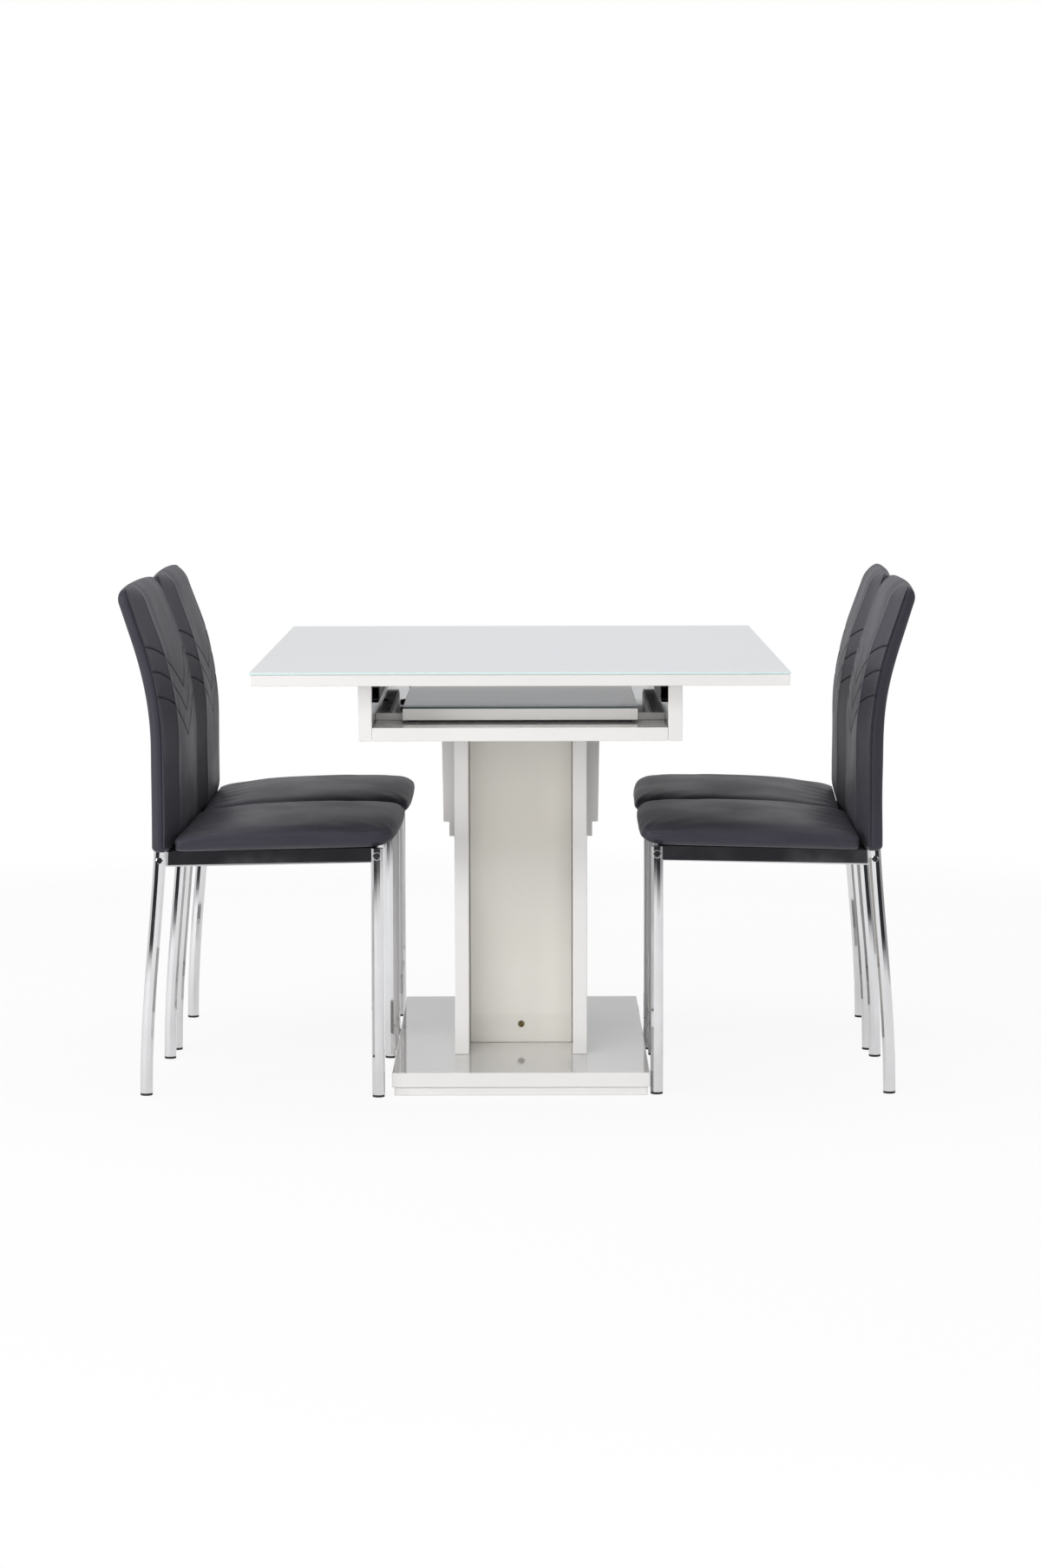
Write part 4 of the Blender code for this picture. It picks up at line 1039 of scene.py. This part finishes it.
def turned(name, profile, sides, turns, material):
    # A profile of (radius, height) turned about an axis, point = (r cos a, r sin a, h), once for each matrix
    # in turns.
    profile = np.asarray(profile)
    turn = np.linspace(0, 2 * math.pi, sides, endpoint=False)
    ring = np.stack([profile[:, 0, None] * np.cos(turn), profile[:, 0, None] * np.sin(turn),
                     np.repeat(profile[:, 1, None], sides, 1)], -1).reshape(-1, 3)
    points, faces = [], []
    for matrix in turns:
        matrix = np.array(matrix)
        faces += closedGridFaces(len(profile), sides, len(points) * len(ring))
        points.append(ring @ matrix[:3, :3].T + matrix[:3, 3])
    item = meshObject(name, np.concatenate(points), faces, material)
    item.data.set_sharp_from_angle(angle=sharpAngle)
    return item


boltTurns = [
    Matrix.Translation((boltValues["axis"], boltValues["half"] * end, boltValues["height"]))
    @ Matrix.Rotation(-end * math.pi / 2, 4, "X") for end in (-1, 1)
]
ringForm = turned("ringForm", boltValues["ring"], boltValues["sides"], boltTurns, chrome)
socketForm = turned("socketForm", boltValues["socket"], boltValues["sides"], boltTurns, blackPlastic)
caps = turned("strip_screw_caps", capValues["profile"], capValues["sides"],
              [Matrix.Translation(place) for place in capValues["places"]], blackPlastic)
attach(caps, "table")
print("bolt rings, sockets and screw caps turned")


# Each chair gets its own copy of every form. The padded ones take the place of a cushion's node.

chairPieces = (
    (backForm, "padded_back", "back_cushion", "dark_leather"),
    (seatForm, "padded_seat", "seat_cushion", "dark_leather"),
    (stitchForm, "chevron_stitches", "", "dark_leather"),
    (ringForm, "bolt_rings", "", "chrome"),
    (socketForm, "bolt_sockets", "", "black_plastic"),
)
for name, side, out, along, turn in chairPlaces:
    matrix = chairMatrix(side, out, along, turn)
    for form, piece, cushion, slot in chairPieces:
        item = placedCopy(form, f"{name}_{piece}", matrix)
        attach(item, name)
        if cushion:
            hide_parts(f"{name}_{cushion}")
for form, *_ in chairPieces:
    bpy.data.objects.remove(form)
print("chairs dressed")


# Stage, light and camera

floorValues = {
    "reach": 4.4, "lines": 41, "drop": 0.0006, "colour": (0.90, 0.90, 0.90), "roughness": 0.7,
    "fadeFrom": 2.3, "fadeTo": 3.3, "mirrorReach": 0.25, "seenGlow": 0.90, "mirrorGlow": 0.55,
}


def buildFloor(v):
    # A flat square grid, point = (x, y, -drop), that fades out round the set. It glows for the camera, and
    # less in mirrors.
    line = np.linspace(-v["reach"], v["reach"], v["lines"])
    x, y = np.meshgrid(line, line, indexing="ij")
    points = np.stack([x, y, np.full_like(x, -v["drop"])], -1).reshape(-1, 3)
    count = v["lines"]
    row, column = np.meshgrid(np.arange(count - 1), np.arange(count - 1), indexing="ij")
    corner = row * count + column
    faces = np.stack([corner, corner + count, corner + count + 1, corner + 1], -1).reshape(-1, 4)
    material = bpy.data.materials.new("paleFloor")
    material.use_nodes = True
    tree = material.node_tree
    shader = tree.nodes["Principled BSDF"]
    shader.inputs["Base Color"].default_value = opaque(v["colour"])
    shader.inputs["Roughness"].default_value = v["roughness"]
    place = addNode(tree, "TexCoord").outputs["Object"]
    far = addNode(tree, "VectorMath", {0: place}, operation="LENGTH").outputs["Value"]
    path = addNode(tree, "LightPath").outputs
    nearer = maths(tree, "SUBTRACT", far, maths(tree, "MULTIPLY", path["Is Glossy Ray"], v["mirrorReach"]))
    fade = ramp(tree, nearer, v["fadeFrom"], v["fadeTo"], 1.0, 0.0)
    seen = maths(tree, "MAXIMUM", path["Is Camera Ray"], path["Is Transmission Ray"])
    mirrored = maths(tree, "MULTIPLY", path["Is Glossy Ray"], v["mirrorGlow"])
    glow = maths(tree, "ADD", maths(tree, "MULTIPLY", seen, v["seenGlow"]), mirrored)
    white = addNode(tree, "Emission", {"Color": (1, 1, 1, 1), "Strength": 1.0})
    bright = addNode(tree, "MixShader", {0: glow, 1: shader.outputs[0], 2: white.outputs[0]})
    clear = addNode(tree, "BsdfTransparent")
    faded = addNode(tree, "MixShader", {0: fade, 1: clear.outputs[0], 2: bright.outputs[0]})
    tree.links.new(faded.outputs[0], tree.nodes["Material Output"].inputs["Surface"])
    floor = meshObject("floor", points, faces.tolist(), material)


buildFloor(floorValues)
print("floor laid")

lightValues = {
    "ambient": 0.50, "sky": (0.98, 0.99, 1.0), "walls": (0.76, 0.765, 0.775), "room": (0.03, 0.03, 0.034),
    "front": (0.15, 0.60), "frontTop": (0.50, 0.80), "right": (0.10, 0.80), "rightShare": 0.55,
    "below": (-0.22, -0.02), "belowShare": 0.25, "aim": (0, 0, 0.55), "lampShape": 0.7,
    "lamps": (  # name, place, width, power, and whether it shows in mirrors
        ("keyPanel", (-2.4, -6.4, 5.6), 2.9, 122.0, True),
        ("leftPanel", (-4.3, -2.7, 1.1), 2.6, 92.0, True),
        ("rightPanel", (4.8, -2.2, 1.2), 2.6, 16.0, True),
        ("frontPanel", (0.3, -8.0, 1.2), 4.2, 104.0, False),
        ("floorPanel", (-0.3, -3.2, 0.03), 2.6, 11.0, False),
        ("topPanel", (0.0, 0.3, 3.8), 3.0, 42.0, True),
    ),
}


def buildWorld(v):
    # White for the camera and soft for the light. Mirrors see pale walls, with a dark room towards the
    # camera, less of it to the right, and a little below.
    world = bpy.data.worlds.new("studio")
    bpy.context.scene.world = world
    world.use_nodes = True
    tree = world.node_tree
    tree.nodes.clear()
    part = addNode(tree, "SeparateXYZ", {0: addNode(tree, "TexCoord").outputs["Generated"]}).outputs
    towards = ramp(tree, maths(tree, "MULTIPLY", part["Y"], -1.0), *v["front"])
    front = maths(tree, "MULTIPLY", towards, ramp(tree, part["Z"], *v["frontTop"], 1.0, 0.0))
    right = maths(tree, "MULTIPLY", ramp(tree, part["X"], *v["right"]), v["rightShare"])
    below = maths(tree, "MULTIPLY", ramp(tree, part["Z"], *v["below"], 1.0, 0.0), v["belowShare"])
    room = maths(tree, "MAXIMUM", front, maths(tree, "MAXIMUM", right, below))
    mirrored = blendColour(tree, room, opaque(v["walls"]), opaque(v["room"]))
    glossy = addNode(tree, "Background", {"Color": mirrored, "Strength": 1.0})
    white = addNode(tree, "Background", {"Color": (1, 1, 1, 1), "Strength": 1.0})
    soft = addNode(tree, "Background", {"Color": opaque(v["sky"]), "Strength": v["ambient"]})
    path = addNode(tree, "LightPath").outputs
    mixed = addNode(tree, "MixShader", {0: path["Is Glossy Ray"], 1: soft.outputs[0], 2: glossy.outputs[0]})
    seen = maths(tree, "MAXIMUM", path["Is Camera Ray"], path["Is Transmission Ray"])
    final = addNode(tree, "MixShader", {0: seen, 1: mixed.outputs[0], 2: white.outputs[0]})
    output = tree.nodes.new("ShaderNodeOutputWorld")
    tree.links.new(final.outputs[0], output.inputs["Surface"])


def hangLamps(v):
    for name, place, width, power, mirrored in v["lamps"]:
        data = bpy.data.lights.new(name, "AREA")
        data.shape = "RECTANGLE"
        data.size = width
        data.size_y = width * v["lampShape"]
        data.energy = power
        lamp = addObject(name, data)
        lamp.visible_glossy = mirrored
        lamp.visible_camera = False
        lamp.location = place
        lamp.rotation_euler = (Vector(v["aim"]) - Vector(place)).to_track_quat("-Z", "Y").to_euler()


buildWorld(lightValues)
hangLamps(lightValues)
print("lamps hung")

cameraValues = {
    "focusPixels": 4327.7, "photoHeightPixels": 1807, "sensor": 36.0, "pitch": 0.1063, "yaw": -0.002,
    "roll": -0.0022, "height": 1.2267, "distance": 6.8162, "shift": 0.013, "clipEnd": 60,
}


def buildCamera(v):
    # The photo's view: its right, up and backward axes, from pitch, yaw and roll in radians.
    cosPitch, sinPitch = math.cos(v["pitch"]), math.sin(v["pitch"])
    cosYaw, sinYaw = math.cos(v["yaw"]), math.sin(v["yaw"])
    cosRoll, sinRoll = math.cos(v["roll"]), math.sin(v["roll"])
    level = Vector((cosYaw, -sinYaw, 0))
    ahead = Vector((sinYaw * cosPitch, cosYaw * cosPitch, -sinPitch))
    down = Vector((-sinYaw * sinPitch, -cosYaw * sinPitch, -cosPitch))
    right = cosRoll * level - sinRoll * down
    up = -(sinRoll * level + cosRoll * down)
    matrix = Matrix((right, up, -ahead)).transposed().to_4x4()
    matrix.translation = Vector((v["shift"], -v["distance"], v["height"]))
    data = bpy.data.cameras.new("photoCamera")
    data.sensor_width = v["sensor"]
    data.lens = v["focusPixels"] * v["sensor"] / v["photoHeightPixels"]
    data.clip_end = v["clipEnd"]
    camera = addObject("photoCamera", data)
    camera.matrix_world = matrix
    bpy.context.scene.camera = camera


buildCamera(cameraValues)
bpy.context.scene.view_settings.view_transform = "Standard"
print("camera placed")
